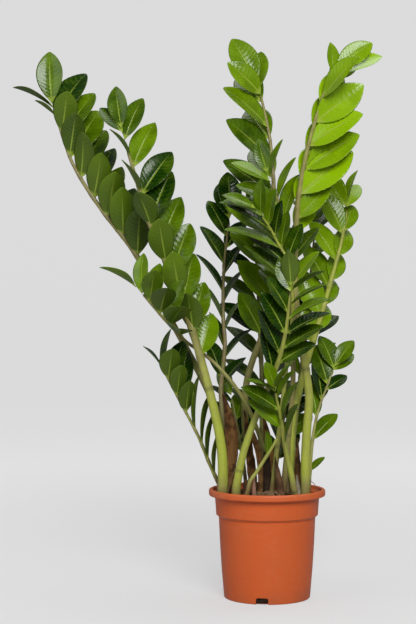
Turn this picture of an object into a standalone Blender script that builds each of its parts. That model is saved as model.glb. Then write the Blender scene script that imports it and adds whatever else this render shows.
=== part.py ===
"""Potted zz plant: a turned plastic nursery pot full of soil, tubers under the soil, and compound
leaves that arch up from them, with the dry sheaths and buds round their feet.

Metres, +Z up. The origin is the centre of the pot's flat base, on the floor."""
from collections import namedtuple
from math import cos, pi, radians, sin, sqrt

import bpy
import bmesh
import numpy as np
from mathutils import Matrix
from mathutils.bvhtree import BVHTree

# Driving dimensions
GAP = 0.00035               # air between two pieces that touch
POT_STEPS = 36              # facets round the pot
POT_WALL = 0.0020
POT_HEIGHT = 0.195
LIP_RADIUS = 0.105
LIP_INNER_RADIUS = 0.0978
LIP_UNDERSIDE = 0.1832
COLLAR_TOP_RADIUS = 0.0942
COLLAR_RADIUS = 0.0920
COLLAR_FOOT = 0.1490
SHOULDER_FOOT = 0.1455
BODY_TOP_RADIUS = 0.0873
BODY_MID = (0.0824, 0.0570)
BASE_RADIUS = 0.0776
FLOOR_THICKNESS = 0.0025
NOTCH_COUNT = 3
NOTCH_WIDTH = 0.022
NOTCH_HEIGHT = 0.0115
NOTCH_DEPTH = 0.012
NOTCH_FIRST_ANGLE = -98.7
SOIL_EDGE = 0.1790          # height of the soil at the wall and in the middle
SOIL_MIDDLE = 0.1835
BURIED_SLANT = 0.7          # how far out from its tuber's centre a stem's foot stands
STRAIGHT_DEPTH = 0.012      # how far a stem goes on straight under the soil

LEAF_PROPORTION = 0.54      # width of a leaflet over its length
LEAF_THICKNESS = 0.0016
LEAF_STALK = 0.0011         # half thickness of a leaflet's foot
LEAF_FOLD = 0.22            # rise of the margins over the midrib, per half width
HUSK_THICKNESS = 0.0010
HUSK_CURL = 0.5             # rise of a husk's margins, per half width
LEAF_ARCH = 0.10            # droop of the tip, per length
LEAF_STATIONS = (0.30, 0.70)
TEST_STATIONS = (0.10, *LEAF_STATIONS)
ELBOW_ROOM = 0.0012         # air kept round a leaflet
STEM_POINTS = 11

Tuber = namedtuple("Tuber", "name x y radius half_height z")
Rank = namedtuple("Rank", "count span length spread side turn")
Frond = namedtuple("Frond", "name tuber route radius ranks tip extra", defaults=((),))
Leaf = namedtuple("Leaf", "share length spread side turn")
Husk = namedtuple("Husk", "name route half_widths faces")
Shoot = namedtuple("Shoot", "name route radii")

TUBERS = (
    Tuber("tuber_left", -0.049, -0.010, 0.031, 0.018, 0.128),
    Tuber("tuber_back", 0.011, 0.049, 0.031, 0.018, 0.128),
    Tuber("tuber_front", 0.000, -0.050, 0.031, 0.018, 0.128),
    Tuber("tuber_right", 0.050, -0.002, 0.031, 0.018, 0.128),
    Tuber("tuber_small", -0.044, 0.044, 0.018, 0.014, 0.132),
)

# Dry papery sheaths: a route from the soil up, half widths from foot to tip, and the way they face.
HUSKS = (
    Husk("husk_broad", ((-0.069, 0.010, 0.187), (-0.066, 0.010, 0.222), (-0.063, 0.010, 0.262),
                        (-0.065, 0.010, 0.304), (-0.072, 0.010, 0.340), (-0.079, 0.010, 0.366)),
         (0.0095, 0.0105, 0.0125, 0.0125, 0.0075, 0.002), -80),
    Husk("husk_back", ((-0.024, 0.017, 0.188), (-0.027, 0.018, 0.226), (-0.033, 0.019, 0.281),
                       (-0.040, 0.020, 0.335)), (0.008, 0.008, 0.006, 0.001), -85),
    Husk("husk_curled", ((-0.012, -0.012, 0.189), (-0.011, -0.011, 0.222), (-0.014, -0.010, 0.256),
                         (-0.024, -0.010, 0.290), (-0.036, -0.012, 0.314)),
         (0.0055, 0.0055, 0.0058, 0.006, 0.001), -60),
    Husk("husk_dark", ((0.006, 0.045, 0.187), (0.006, 0.046, 0.232), (0.003, 0.047, 0.280),
                       (-0.004, 0.048, 0.322)), (0.012, 0.011, 0.008, 0.002), -88),
    Husk("husk_right", ((0.058, 0.012, 0.187), (0.057, 0.013, 0.235), (0.056, 0.013, 0.285)),
         (0.006, 0.006, 0.001), -70),
    Husk("husk_pale", ((0.055, -0.052, 0.187), (0.054, -0.053, 0.205), (0.050, -0.056, 0.226)),
         (0.003, 0.003, 0.001), -50),
)

# Buds and old stumps standing on the soil: a route and radii, from the foot up.
SHOOTS = (
    Shoot("old_stump", ((0.002, 0.001, 0.187), (0.001, 0.001, 0.212), (-0.001, 0.000, 0.240),
                        (-0.002, -0.001, 0.262)), (0.0095, 0.0090, 0.0080, 0.0050)),
    Shoot("brown_bud", ((0.023, -0.031, 0.187), (0.021, -0.031, 0.208), (0.017, -0.030, 0.232),
                        (0.013, -0.030, 0.255)), (0.0080, 0.0070, 0.0045, 0.0008)),
    Shoot("pink_bud", ((-0.025, -0.050, 0.186), (-0.025, -0.051, 0.200), (-0.025, -0.051, 0.213),
                       (-0.024, -0.052, 0.221)), (0.0036, 0.0036, 0.0026, 0.0006)),
    Shoot("cut_stub", ((-0.040, -0.050, 0.187), (-0.040, -0.050, 0.202), (-0.039, -0.051, 0.216)),
          (0.0052, 0.0050, 0.0046)),
    Shoot("bark_chip", ((-0.012, -0.066, 0.188), (-0.004, -0.070, 0.196), (0.005, -0.071, 0.195),
                        (0.011, -0.068, 0.188)), (0.0018, 0.0034, 0.0034, 0.0016)),
)
ROOT_CLUMP = ((0.002, -0.080, 0.1885), (0.018, 0.0065, 0.0052))

# A frond's route runs from the soil to its tip. Its radius is given at the foot and at the tip.
# A rank is a row of leaflets along one side: how many, from which share of the route to which,
# then lengths in mm, and degrees of spread (away from the stem), side (0 is +X, 90 is +Y, round
# the stem) and turn (of the blade about its own midrib), each spread evenly from foot to tip.
# The front fronds come first, since later leaflets make room for those that stand already.
FRONDS = (
    Frond("frond_left_outer", "tuber_left",
        ((-0.074, 0.030, 0.185), (-0.081, 0.035, 0.280), (-0.099, 0.035, 0.353),
         (-0.143, 0.035, 0.441), (-0.195, 0.038, 0.536), (-0.242, 0.042, 0.624),
         (-0.296, 0.048, 0.694), (-0.335, 0.052, 0.750), (-0.361, 0.055, 0.798),
         (-0.380, 0.058, 0.854), (-0.395, 0.060, 0.900)),
        (0.008, 0.002),
        (Rank(7, (0.61, 0.93), (100, 98, 94, 90, 84), (42, 46, 46, 38), (-40, -36, -36, -44),
               (-50, -54, -52)),
         Rank(7, (0.68, 0.97), (100, 114, 116, 108), (54, 54, 48), (24, 22, 20), (40, 46, 50))),
        Leaf(1, 98, 14, 0, 80),
        (Leaf(0.99, 84, 30, 180, 0), Leaf(0.97, 50, 24, 180, 10))),
    Frond("frond_left_inner", "tuber_left",
        ((-0.080, -0.024, 0.186), (-0.082, -0.034, 0.268), (-0.098, -0.040, 0.349),
         (-0.123, -0.040, 0.443), (-0.142, -0.044, 0.503), (-0.163, -0.048, 0.558),
         (-0.188, -0.052, 0.618), (-0.213, -0.058, 0.680), (-0.233, -0.064, 0.747),
         (-0.249, -0.070, 0.802), (-0.259, -0.074, 0.837)),
        (0.0098, 0.002),
        (Rank(6, (0.47, 0.93), (82, 92, 94, 80, 74, 64), (22, 22, 24, 28, 28),
               (-60, -60, -70, -100, -110), (-14, -16, -20, -50, -60)),
         Rank(9, (0.41, 0.97), (84, 92, 102, 104, 100, 84), (34, 34, 42, 44, 42, 38),
               (25, 8, 20, 20), (62, 64, 52, 48))),
        Leaf(1, 74, 8, 0, 80),
        (Leaf(0.965, 82, 14, 180, 0), Leaf(0.99, 62, 20, 150, -30))),
    Frond("frond_left_crossing", "tuber_back",
        ((-0.001, 0.030, 0.185), (-0.006, 0.020, 0.263), (-0.034, 0.005, 0.340),
         (-0.070, 0.000, 0.395), (-0.110, 0.000, 0.435), (-0.139, -0.012, 0.455),
         (-0.171, -0.042, 0.487), (-0.195, -0.060, 0.514), (-0.214, -0.068, 0.537),
         (-0.233, -0.072, 0.558)),
        (0.005, 0.0018),
        (Rank(4, (0.76, 0.93), (88, 86, 78), (48, 50, 50), (-26, -26, -26), (-64, -64, -62)),
         Rank(3, (0.85, 0.97), (80, 80, 75), (54, 50, 46), (25, 28, 35), (25, 25, 25))),
        Leaf(1, 73, 12, 180, 25)),
    Frond("frond_left_low", "tuber_left",
        ((-0.083, 0.002, 0.194), (-0.105, -0.002, 0.243), (-0.121, -0.004, 0.283),
         (-0.139, -0.005, 0.319), (-0.166, -0.012, 0.370), (-0.189, -0.018, 0.414)),
        (0.004, 0.0015),
        (Rank(3, (0.69, 0.92), (70, 72), (38, 42), (-35, -40), (-30, -50)),
         Rank(8, (0.27, 0.97), (92, 105, 98, 80), (26, 30, 34), (5, 18, 25), (-16, -10, -4))),
        Leaf(1, 52, 6, 180, 0)),
    Frond("frond_front_centre", "tuber_front",
        ((-0.057, -0.050, 0.195), (-0.054, -0.054, 0.217), (-0.045, -0.061, 0.262),
         (-0.031, -0.070, 0.307), (-0.014, -0.080, 0.351), (0.003, -0.090, 0.395),
         (0.015, -0.096, 0.425), (0.027, -0.106, 0.474), (0.032, -0.114, 0.514),
         (0.036, -0.122, 0.559)),
        (0.0085, 0.0016),
        (Rank(6, (0.69, 0.98), (75, 85, 88, 78, 68), (38, 46, 50, 48), (0, 0, -8), (30, 10, -15)),
         Rank(5, (0.64, 0.98), (88, 90, 78, 62), (32, 28, 22), (180, 180, 180), (-60, -50, -40))),
        Leaf(1, 62, 8, 180, 75)),
    Frond("frond_front_low", "tuber_front",
        ((0.046, -0.050, 0.195), (0.042, -0.055, 0.220), (0.034, -0.062, 0.253),
         (0.027, -0.076, 0.286), (0.021, -0.092, 0.326), (0.013, -0.104, 0.361),
         (0.009, -0.110, 0.382)),
        (0.0068, 0.0016),
        (Rank(4, (0.56, 0.98), (84, 82, 80, 58), (32, 36, 44), (180, 185, 185), (-30, -20, 5)),
         Rank(3, (0.58, 0.92), (86, 80, 60), (20, 22, 26), (-10, -10, 0), (12, 14, 40))),
        Leaf(1, 50, 8, 180, -60),
        (Leaf(0.985, 68, 26, 20, 20),)),
    Frond("frond_young_shoot", "tuber_front",
        ((-0.038, -0.073, 0.194), (-0.033, -0.076, 0.216), (-0.021, -0.078, 0.234),
         (-0.005, -0.080, 0.260), (0.007, -0.084, 0.280), (0.016, -0.088, 0.298)),
        (0.0042, 0.0024),
        (Rank(2, (0.76, 0.92), (46, 50), (30, 24), (180, 0), (-40, 40)),),
        Leaf(1, 50, 10, 0, 60)),
    Frond("frond_centre_left", "tuber_front",
        ((0.009, -0.010, 0.194), (0.019, -0.018, 0.284), (0.033, -0.028, 0.410),
         (0.044, -0.044, 0.518), (0.035, -0.052, 0.603), (0.021, -0.052, 0.629),
         (0.001, -0.060, 0.666), (-0.012, -0.066, 0.683), (-0.024, -0.070, 0.697)),
        (0.005, 0.0016),
        (Rank(5, (0.81, 0.97), (70, 68, 68, 68), (38, 36, 36), (0, -10, -10), (45, 40, 50)),
         Rank(5, (0.73, 0.97), (112, 112, 100, 78), (32, 28, 20), (180, 180, 180), (-25, -15, -15))),
        Leaf(1, 62, 25, 180, -30)),
    Frond("frond_right_low", "tuber_right",
        ((0.077, 0.020, 0.190), (0.079, 0.022, 0.222), (0.083, 0.026, 0.269), (0.089, 0.034, 0.307),
         (0.099, 0.042, 0.343), (0.113, 0.050, 0.378), (0.128, 0.058, 0.414)),
        (0.004, 0.0014),
        (Rank(4, (0.64, 0.98), (70, 84, 80, 72), (30, 34, 40), (180, 180, 170), (-60, -70, -60)),
         Rank(2, (0.29, 0.49), (38, 68), (38, 32), (0, 0), (35, 50)),
         Rank(2, (0.83, 0.97), (55, 55), (34, 30), (30, 30), (40, 40))),
        Leaf(1, 62, 12, 0, 70)),
    Frond("frond_right_top", "tuber_right",
        ((0.068, -0.015, 0.191), (0.068, -0.015, 0.239), (0.071, -0.015, 0.302),
         (0.075, -0.018, 0.367), (0.067, -0.020, 0.419), (0.056, -0.024, 0.491),
         (0.049, -0.028, 0.553), (0.049, -0.034, 0.625), (0.053, -0.042, 0.704),
         (0.064, -0.048, 0.775), (0.076, -0.054, 0.827), (0.088, -0.058, 0.867),
         (0.100, -0.062, 0.909), (0.119, -0.066, 0.944)),
        (0.009, 0.002),
        (Rank(7, (0.66, 0.98), (86, 122, 118, 112, 108, 104, 98), (40, 42, 38, 36, 36, 34, 32),
               (-14, -16, -18), (74, 72, 68, 66)),
         Rank(7, (0.63, 0.97), (85, 95, 100, 95, 90, 85), (40, 42, 36, 30), (60, 60, 60),
               (30, 30, 30))),
        Leaf(1, 78, 26, 0, 70),
        (Leaf(0.985, 56, 22, 180, -60),)),
    Frond("frond_right_outer", "tuber_right",
        ((0.056, 0.030, 0.189), (0.049, 0.034, 0.230), (0.046, 0.038, 0.298), (0.059, 0.042, 0.362),
         (0.075, 0.044, 0.422), (0.092, 0.046, 0.477), (0.107, 0.048, 0.527), (0.122, 0.052, 0.579),
         (0.139, 0.056, 0.641), (0.148, 0.060, 0.688), (0.152, 0.062, 0.721)),
        (0.0092, 0.0018),
        (Rank(6, (0.54, 0.98), (76, 92, 96, 90, 86, 74), (28, 34, 38, 34), (180, 180, 180),
               (-66, -66, -70)),
         Rank(6, (0.58, 0.98), (70, 75, 70, 62), (34, 30, 26), (80, 85, 60), (20, 20, 20))),
        Leaf(1, 60, 6, 0, 25),
        (Leaf(0.995, 62, 32, 180, -70),)),
    Frond("frond_centre_mid", "tuber_right",
        ((0.031, 0.012, 0.191), (0.039, 0.015, 0.281), (0.048, 0.016, 0.390), (0.046, 0.014, 0.499),
         (0.042, 0.012, 0.590), (0.038, 0.006, 0.644), (0.025, -0.005, 0.698), (0.009, -0.010, 0.743),
         (0.000, -0.010, 0.766)),
        (0.006, 0.0018),
        (Rank(6, (0.66, 0.98), (85, 88, 92, 85, 75), (38, 40, 36), (10, 5, 0), (25, 15, 12)),
         Rank(6, (0.61, 0.97), (88, 98, 92, 80), (38, 44, 40), (170, 175, 180), (-35, -30, -30))),
        Leaf(1, 62, 5, 0, 75)),
    Frond("frond_back_dark", "tuber_small",
        ((-0.062, 0.055, 0.186), (-0.073, 0.060, 0.277), (-0.081, 0.070, 0.341),
         (-0.082, 0.078, 0.378), (-0.075, 0.090, 0.452), (-0.078, 0.098, 0.499),
         (-0.078, 0.108, 0.555), (-0.076, 0.118, 0.608), (-0.071, 0.126, 0.650),
         (-0.065, 0.134, 0.700)),
        (0.006, 0.0016),
        (Rank(6, (0.44, 0.92), (80, 78, 92, 92, 85), (22, 22, 30, 30), (190, 180, 170),
               (-60, -15, -20, -50)),
         Rank(6, (0.41, 0.88), (75, 80, 80, 70), (30, 28, 25), (0, 10, 10), (35, 8, 12, 45))),
        Leaf(1, 85, 8, 180, -75),
        (Leaf(0.985, 80, 22, 150, -50),)),
    Frond("frond_centre_top", "tuber_back",
        ((-0.022, 0.032, 0.188), (-0.030, 0.035, 0.252), (-0.039, 0.040, 0.316),
         (-0.033, 0.045, 0.398), (-0.003, 0.052, 0.481), (0.015, 0.056, 0.555), (0.019, 0.062, 0.629),
         (0.016, 0.072, 0.741), (0.009, 0.082, 0.835), (-0.006, 0.090, 0.910), (-0.015, 0.094, 0.945)),
        (0.0075, 0.002),
        (Rank(8, (0.41, 0.97), (92, 100, 106, 112, 118, 118, 112, 86), (48, 54, 58, 54, 42, 32),
               (-164, -164, -162, -152, -140), (-76, -74, -72, -66)),
         Rank(7, (0.42, 0.95), (85, 95, 100, 105, 100), (44, 46, 42, 32), (118, 118, 122),
               (-30, -30, -40))),
        Leaf(1, 98, 14, 180, -80),
        (Leaf(0.985, 78, 8, 10, 30),)),
    Frond("frond_back_centre", "tuber_back",
        ((-0.007, 0.062, 0.188), (-0.006, 0.082, 0.275), (-0.005, 0.104, 0.367),
         (-0.008, 0.134, 0.480), (-0.013, 0.160, 0.595), (-0.018, 0.182, 0.702)),
        (0.006, 0.0016),
        (Rank(8, (0.31, 0.97), (85, 95, 95, 85, 75), (45, 50, 45), (175, 190, 180),
               (-30, -50, -30)),
         Rank(8, (0.34, 0.95), (85, 95, 95, 85, 75), (45, 50, 45), (10, 0, 10), (30, 50, 30))),
        Leaf(1, 70, 5, 0, 75)),
    Frond("frond_back_right", "tuber_back",
        ((0.041, 0.055, 0.189), (0.051, 0.072, 0.276), (0.066, 0.092, 0.387), (0.080, 0.114, 0.499),
         (0.091, 0.134, 0.613), (0.099, 0.146, 0.686)),
        (0.006, 0.0016),
        (Rank(7, (0.36, 0.98), (85, 92, 92, 85, 72), (45, 48, 42), (175, 185, 180),
               (-40, -60, -40)),
         Rank(7, (0.39, 0.97), (85, 90, 90, 80, 66), (40, 42, 36), (10, 25, 20), (30, 30, 30))),
        Leaf(1, 70, 5, 0, 75)),
    Frond("frond_low_back_left", "tuber_small",
        ((-0.036, 0.068, 0.188), (-0.040, 0.074, 0.230), (-0.047, 0.084, 0.275),
         (-0.056, 0.094, 0.321), (-0.063, 0.102, 0.358)),
        (0.0042, 0.0015),
        (Rank(3, (0.51, 0.92), (66, 70, 60), (26, 28, 30), (180, 180, 180), (-50, -50, -50)),
         Rank(4, (0.44, 0.95), (74, 80, 74, 62), (30, 32, 34), (0, 5, 0), (50, 45, 50))),
        Leaf(1, 66, 8, 0, 75)),
    Frond("frond_low_back_right", "tuber_back",
        ((0.016, 0.074, 0.189), (0.022, 0.080, 0.238), (0.030, 0.088, 0.284), (0.038, 0.096, 0.330),
         (0.046, 0.104, 0.367)),
        (0.0042, 0.0015),
        (Rank(4, (0.36, 0.92), (72, 80, 78, 64), (30, 34, 36), (180, 175, 180), (-50, -45, -50)),
         Rank(4, (0.42, 0.93), (72, 80, 78, 64), (30, 34, 34), (0, 5, 0), (50, 45, 50))),
        Leaf(1, 66, 8, 0, 75)),
)


# ---------------------------------------------------------------- shared makers

def material(name, colour, roughness):
    """A Principled material with a plain colour."""
    made = bpy.data.materials.new(name)
    made.use_nodes = True
    shader = made.node_tree.nodes["Principled BSDF"]
    shader.inputs["Base Color"].default_value = (*colour, 1)
    shader.inputs["Roughness"].default_value = roughness
    return made


def object_from(bm, name, finish=None, smooth_below=None):
    """Turn a bmesh into a named object and free it."""
    bmesh.ops.recalc_face_normals(bm, faces=bm.faces)
    mesh = bpy.data.meshes.new(name)
    bm.to_mesh(mesh)
    bm.free()
    if smooth_below is not None:
        mesh.shade_smooth()
        mesh.set_sharp_from_angle(angle=radians(smooth_below))
    piece = bpy.data.objects.new(name, mesh)
    bpy.context.collection.objects.link(piece)
    if finish is not None:
        mesh.materials.append(finish)
    return piece


def as_cutter(piece):
    """Show a guide solid as wire, and keep it out of the model."""
    piece.display_type = "WIRE"
    piece.hide_render = True
    return piece


def combine(piece, other, operation):
    """Add an exact Boolean that keeps its operand's own overlaps clean."""
    cut = piece.modifiers.new(f"{operation.lower()} {other.name}", "BOOLEAN")
    cut.operation = operation
    cut.object = other
    cut.solver = "EXACT"
    cut.use_self = True


def turned(name, profile, finish):
    """Spin a profile of (radius, height) pairs, both ends on the axis, into a closed solid."""
    bm = bmesh.new()
    points = [bm.verts.new((r, 0, z)) for r, z in profile]
    edges = [bm.edges.new(pair) for pair in zip(points, points[1:])]
    bmesh.ops.spin(bm, geom=points + edges, cent=(0, 0, 0), axis=(0, 0, 1), dvec=(0, 0, 0),
                   angle=2 * pi, steps=POT_STEPS, use_merge=True)
    bmesh.ops.remove_doubles(bm, verts=bm.verts, dist=1e-6)
    return object_from(bm, name, finish, 35)


# ---------------------------------------------------------------- pot and soil

def make_pot(finish):
    """The pot: a tapered cup with a collar, a rolled lip, and drain notches round its foot."""
    wall = POT_WALL
    mid_radius, mid_height = BODY_MID
    outer = [
        (0, 0), (BASE_RADIUS - 0.002, 0), (BASE_RADIUS, 0.002), BODY_MID,
        (BODY_TOP_RADIUS, SHOULDER_FOOT - 0.0015), (BODY_TOP_RADIUS + 0.0008, SHOULDER_FOOT),
        (COLLAR_RADIUS, COLLAR_FOOT), (COLLAR_TOP_RADIUS, LIP_UNDERSIDE),
    ]
    lip = [
        (LIP_RADIUS - 0.0020, LIP_UNDERSIDE + 0.0006), (LIP_RADIUS, LIP_UNDERSIDE + 0.0030),
        (LIP_RADIUS, POT_HEIGHT - 0.0030), (LIP_RADIUS - 0.0022, POT_HEIGHT - 0.0004),
        (LIP_RADIUS - 0.0045, POT_HEIGHT), (LIP_INNER_RADIUS + 0.0010, POT_HEIGHT - 0.0008),
        (LIP_INNER_RADIUS, POT_HEIGHT - 0.0030),
        (COLLAR_TOP_RADIUS - wall + 0.0004, LIP_UNDERSIDE + 0.0030),
    ]
    inner = [
        (COLLAR_RADIUS - wall, COLLAR_FOOT + 0.001), (BODY_TOP_RADIUS - wall, SHOULDER_FOOT + 0.0005),
        (mid_radius - wall, mid_height), (BASE_RADIUS - wall, FLOOR_THICKNESS), (0, FLOOR_THICKNESS),
    ]
    pot = turned("nursery_pot", outer + lip + inner, finish)
    notches = bmesh.new()
    for i in range(NOTCH_COUNT):
        angle = radians(NOTCH_FIRST_ANGLE + 360 * i / NOTCH_COUNT)
        reach = BASE_RADIUS + 0.006 - NOTCH_DEPTH / 2
        place = (Matrix.Rotation(angle, 4, "Z")
                 @ Matrix.Translation((reach - NOTCH_DEPTH / 2 + 0.003, 0, NOTCH_HEIGHT / 2 - 0.001))
                 @ Matrix.Diagonal((NOTCH_DEPTH, NOTCH_WIDTH, NOTCH_HEIGHT + 0.002, 1)))
        bmesh.ops.create_cube(notches, size=1, matrix=place)
    combine(pot, as_cutter(object_from(notches, "drain_notches")), "DIFFERENCE")
    return pot


def make_soil(finish, planted):
    """The soil: fills the pot with a hair of air all round, and leaves room for what is planted."""
    wall = POT_WALL + GAP
    mid_radius, mid_height = BODY_MID
    top_radius = COLLAR_TOP_RADIUS - wall - 0.0004
    profile = [
        (0, FLOOR_THICKNESS + GAP), (BASE_RADIUS - wall, FLOOR_THICKNESS + GAP),
        (mid_radius - wall, mid_height), (BODY_TOP_RADIUS - wall, SHOULDER_FOOT + 0.0008),
        (COLLAR_RADIUS - wall, COLLAR_FOOT + 0.0013), (top_radius, SOIL_EDGE),
        (top_radius * 0.8, SOIL_EDGE + 0.0020), (top_radius * 0.4, SOIL_MIDDLE), (0, SOIL_MIDDLE),
    ]
    soil = turned("potting_soil", profile, finish)
    combine(soil, as_cutter(object_from(planted, "planting_bed")), "DIFFERENCE")
    return soil


def add_tuber(bm, tuber, grow=0.0):
    """A flattened round storage tuber."""
    radius = tuber.radius + grow
    shape = (Matrix.Translation((tuber.x, tuber.y, tuber.z))
             @ Matrix.Diagonal((radius, radius, tuber.half_height + grow, 1)))
    bmesh.ops.create_uvsphere(bm, u_segments=14, v_segments=8, radius=1, matrix=shape)


# ---------------------------------------------------------------- leaves

def spread_evenly(values, share):
    """The value at a share of the way through a short list of key values."""
    return float(np.interp(share, np.linspace(0, 1, len(values)), values))


def smooth_route(points, count):
    """A smooth curve through the points (Catmull-Rom), resampled at even steps."""
    points = np.array(points, float)
    ends = np.vstack([2 * points[0] - points[1], points, 2 * points[-1] - points[-2]])
    t = np.linspace(0, 1, 24, endpoint=False)[:, None]
    spans = [0.5 * (2 * b + (c - a) * t + (2 * a - 5 * b + 4 * c - d) * t**2
                    + (3 * b - a - 3 * c + d) * t**3)
             for a, b, c, d in zip(ends[:-3], ends[1:-2], ends[2:-1], ends[3:])]
    line = np.vstack(spans + [points[-1:]])
    walked = np.concatenate([[0], np.cumsum(np.linalg.norm(np.diff(line, axis=0), axis=1))])
    even = np.linspace(0, walked[-1], count)
    return np.stack([np.interp(even, walked, line[:, k]) for k in range(3)], axis=1)


def place_on(line, share):
    """The point and the unit tangent at a share of an evenly stepped line."""
    step = share * (len(line) - 1)
    i = min(int(step), len(line) - 2)
    point = line[i] + (line[i + 1] - line[i]) * (step - i)
    along = line[min(i + 3, len(line) - 1)] - line[max(i - 2, 0)]
    return point, along / np.linalg.norm(along)


def leaf_axes(tangent, spread, side, turn):
    """A leaflet's midrib, across and upper directions, from the stem's tangent and three angles."""
    spread, side, turn = np.radians([spread, side, turn])
    right = np.array([1.0, 0, 0]) - tangent[0] * tangent
    right = right / np.linalg.norm(right)
    out = cos(side) * right + sin(side) * np.cross(tangent, right)
    rib = cos(spread) * tangent + sin(spread) * out
    up = sin(spread) * tangent - cos(spread) * out
    normal = cos(turn) * up + sin(turn) * np.cross(rib, up)
    return rib, np.cross(rib, normal), normal


def leaf_stations(foot, axes, length, shares=LEAF_STATIONS, grow=0.0):
    """Cross-sections of a leaflet, each as its left, top, right and bottom points, and its tip."""
    rib, across, normal = axes
    rings = []
    for share in shares:
        half = sin(pi * share ** 0.86) ** 0.78 * LEAF_PROPORTION * length / 2
        middle = foot + rib * length * share - normal * LEAF_ARCH * length * share**2
        raised = normal * LEAF_FOLD * half
        thick = normal * (LEAF_THICKNESS / 2 + grow)
        rings.append((middle - across * (half + grow) + raised, middle + thick,
                      middle + across * (half + grow) + raised, middle - thick))
    tip = foot + rib * (length + grow) - normal * LEAF_ARCH * length
    return rings, tip


def leaf_faces(first, ring_count):
    """Quads between successive rings of four points, and the point of the tip."""
    faces = []
    for i in range(ring_count - 1):
        a, b = first + 4 * i, first + 4 * i + 4
        faces += [(a + k, a + (k + 1) % 4, b + (k + 1) % 4, b + k) for k in range(4)]
    last, tip = first + 4 * ring_count - 4, first + 4 * ring_count
    faces += [(last + k, last + (k + 1) % 4, tip) for k in range(4)]
    return faces


def wished_leaves(frond):
    """The leaflets as the frond's ranks ask for them, from the tip down."""
    leaves = [frond.tip, *frond.extra]
    for rank in frond.ranks:
        for i in range(rank.count):
            q = i / max(rank.count - 1, 1)
            share = rank.span[0] + q * (rank.span[1] - rank.span[0])
            keys = (rank.length, rank.spread, rank.side, rank.turn)
            leaves.append(Leaf(share, *(spread_evenly(key, q) for key in keys)))
    return sorted(leaves, key=lambda leaf: -leaf.share)


def elbow_room_choices():
    """How far a leaflet may give way, in degrees of spread, side and turn, least first."""
    choices = [(a, b, c) for a in (0, -8, 8, -16) for b in (0, -12, 12, -24, 24, -38, 38)
               for c in (0, -18, 18, -36, 36)]
    return sorted(choices, key=lambda move: abs(move[0]) + abs(move[1]) + 0.6 * abs(move[2]))


class Thicket:
    """The triangles that stand already, asked whether a new leaflet would cut through them."""

    def __init__(self):
        self.points, self.faces = [], []

    def add(self, points, faces):
        start = len(self.points)
        self.points += [tuple(p) for p in points]
        self.faces += [tuple(start + k for k in face) for face in faces]
        self.tree = BVHTree.FromPolygons(self.points, self.faces)

    def touches(self, points, faces):
        return bool(self.tree.overlap(BVHTree.FromPolygons([tuple(p) for p in points], faces)))


def tube_of(line, radii, sides=6):
    """Points and quads of an open tube round a line, for the thicket."""
    along = np.gradient(line, axis=0)
    along /= np.linalg.norm(along, axis=1, keepdims=True)
    right = np.array([1.0, 0, 0]) - along[:, :1] * along
    right /= np.linalg.norm(right, axis=1, keepdims=True)
    back = np.cross(along, right)
    turn = np.arange(sides)[None, :, None] * 2 * pi / sides
    outward = np.cos(turn) * right[:, None] + np.sin(turn) * back[:, None]
    ring = line[:, None] + radii[:, None, None] * outward
    faces = [(i + k, i + (k + 1) % sides, i + sides + (k + 1) % sides, i + sides + k)
             for i in range(0, (len(line) - 1) * sides, sides) for k in range(sides)]
    return ring.reshape(-1, 3), faces


def stem_radii(frond, count):
    """The stem's radius at each point, from foot to tip."""
    foot, tip = frond.radius
    return tip + (foot - tip) * np.linspace(1, 0, count) ** 0.8


def settle_leaves(fronds, lines):
    """Turn each leaflet aside until it clears the rest; one that finds no room isn't grown."""
    settled = {}
    others = {}
    for frond in fronds:
        thicket = Thicket()
        for piece in HUSKS + SHOOTS:
            radii = piece[2]
            thicket.add(*tube_of(np.array(piece.route), np.array(radii) + ELBOW_ROOM))
        for other in fronds:
            if other.name != frond.name:
                line = lines[other.name]
                thicket.add(*tube_of(line, stem_radii(other, len(line)) + ELBOW_ROOM))
        others[frond.name] = thicket
    for frond in fronds:
        kept = []
        for leaf in wished_leaves(frond):
            foot, tangent = place_on(lines[frond.name], leaf.share)
            for spread, side, turn in elbow_room_choices():
                axes = leaf_axes(tangent, leaf.spread + spread, leaf.side + side, leaf.turn + turn)
                rings, tip = leaf_stations(foot, axes, leaf.length / 1000, TEST_STATIONS, ELBOW_ROOM / 2)
                points = [p for ring in rings for p in ring] + [tip]
                faces = leaf_faces(0, len(rings)) + [(0, 1, 2, 3)]
                if not others[frond.name].touches(points, faces):
                    kept.append((foot, axes, leaf.length / 1000))
                    for thicket in others.values():
                        thicket.add(points, faces)
                    break
        settled[frond.name] = kept
    return settled


def stem_line(frond, tubers):
    """The stem's route. It goes on straight for a little under the soil, then slants in to its tuber."""
    tuber = tubers[frond.tuber]
    soil_x, soil_y, soil_z = frond.route[0]
    away = np.array([soil_x - tuber.x, soil_y - tuber.y])
    distance = np.linalg.norm(away)
    reach = min(BURIED_SLANT * distance, 0.8 * tuber.radius)
    nearest = max(reach - frond.radius[0], 0) / tuber.radius
    foot_z = tuber.z + tuber.half_height * sqrt(1 - nearest**2) + 0.0012
    foot = (tuber.x + away[0] * reach / distance, tuber.y + away[1] * reach / distance, foot_z)
    start, above = np.array(frond.route[0]), np.array(frond.route[1])
    below = start - (above - start) / np.linalg.norm(above - start) * STRAIGHT_DEPTH
    return smooth_route([foot, below, *frond.route], 60)


def coarse_line(line):
    """Every few points of a stem's line, enough for its plain solid."""
    return line[np.linspace(0, len(line) - 1, STEM_POINTS).round().astype(int)]


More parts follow.
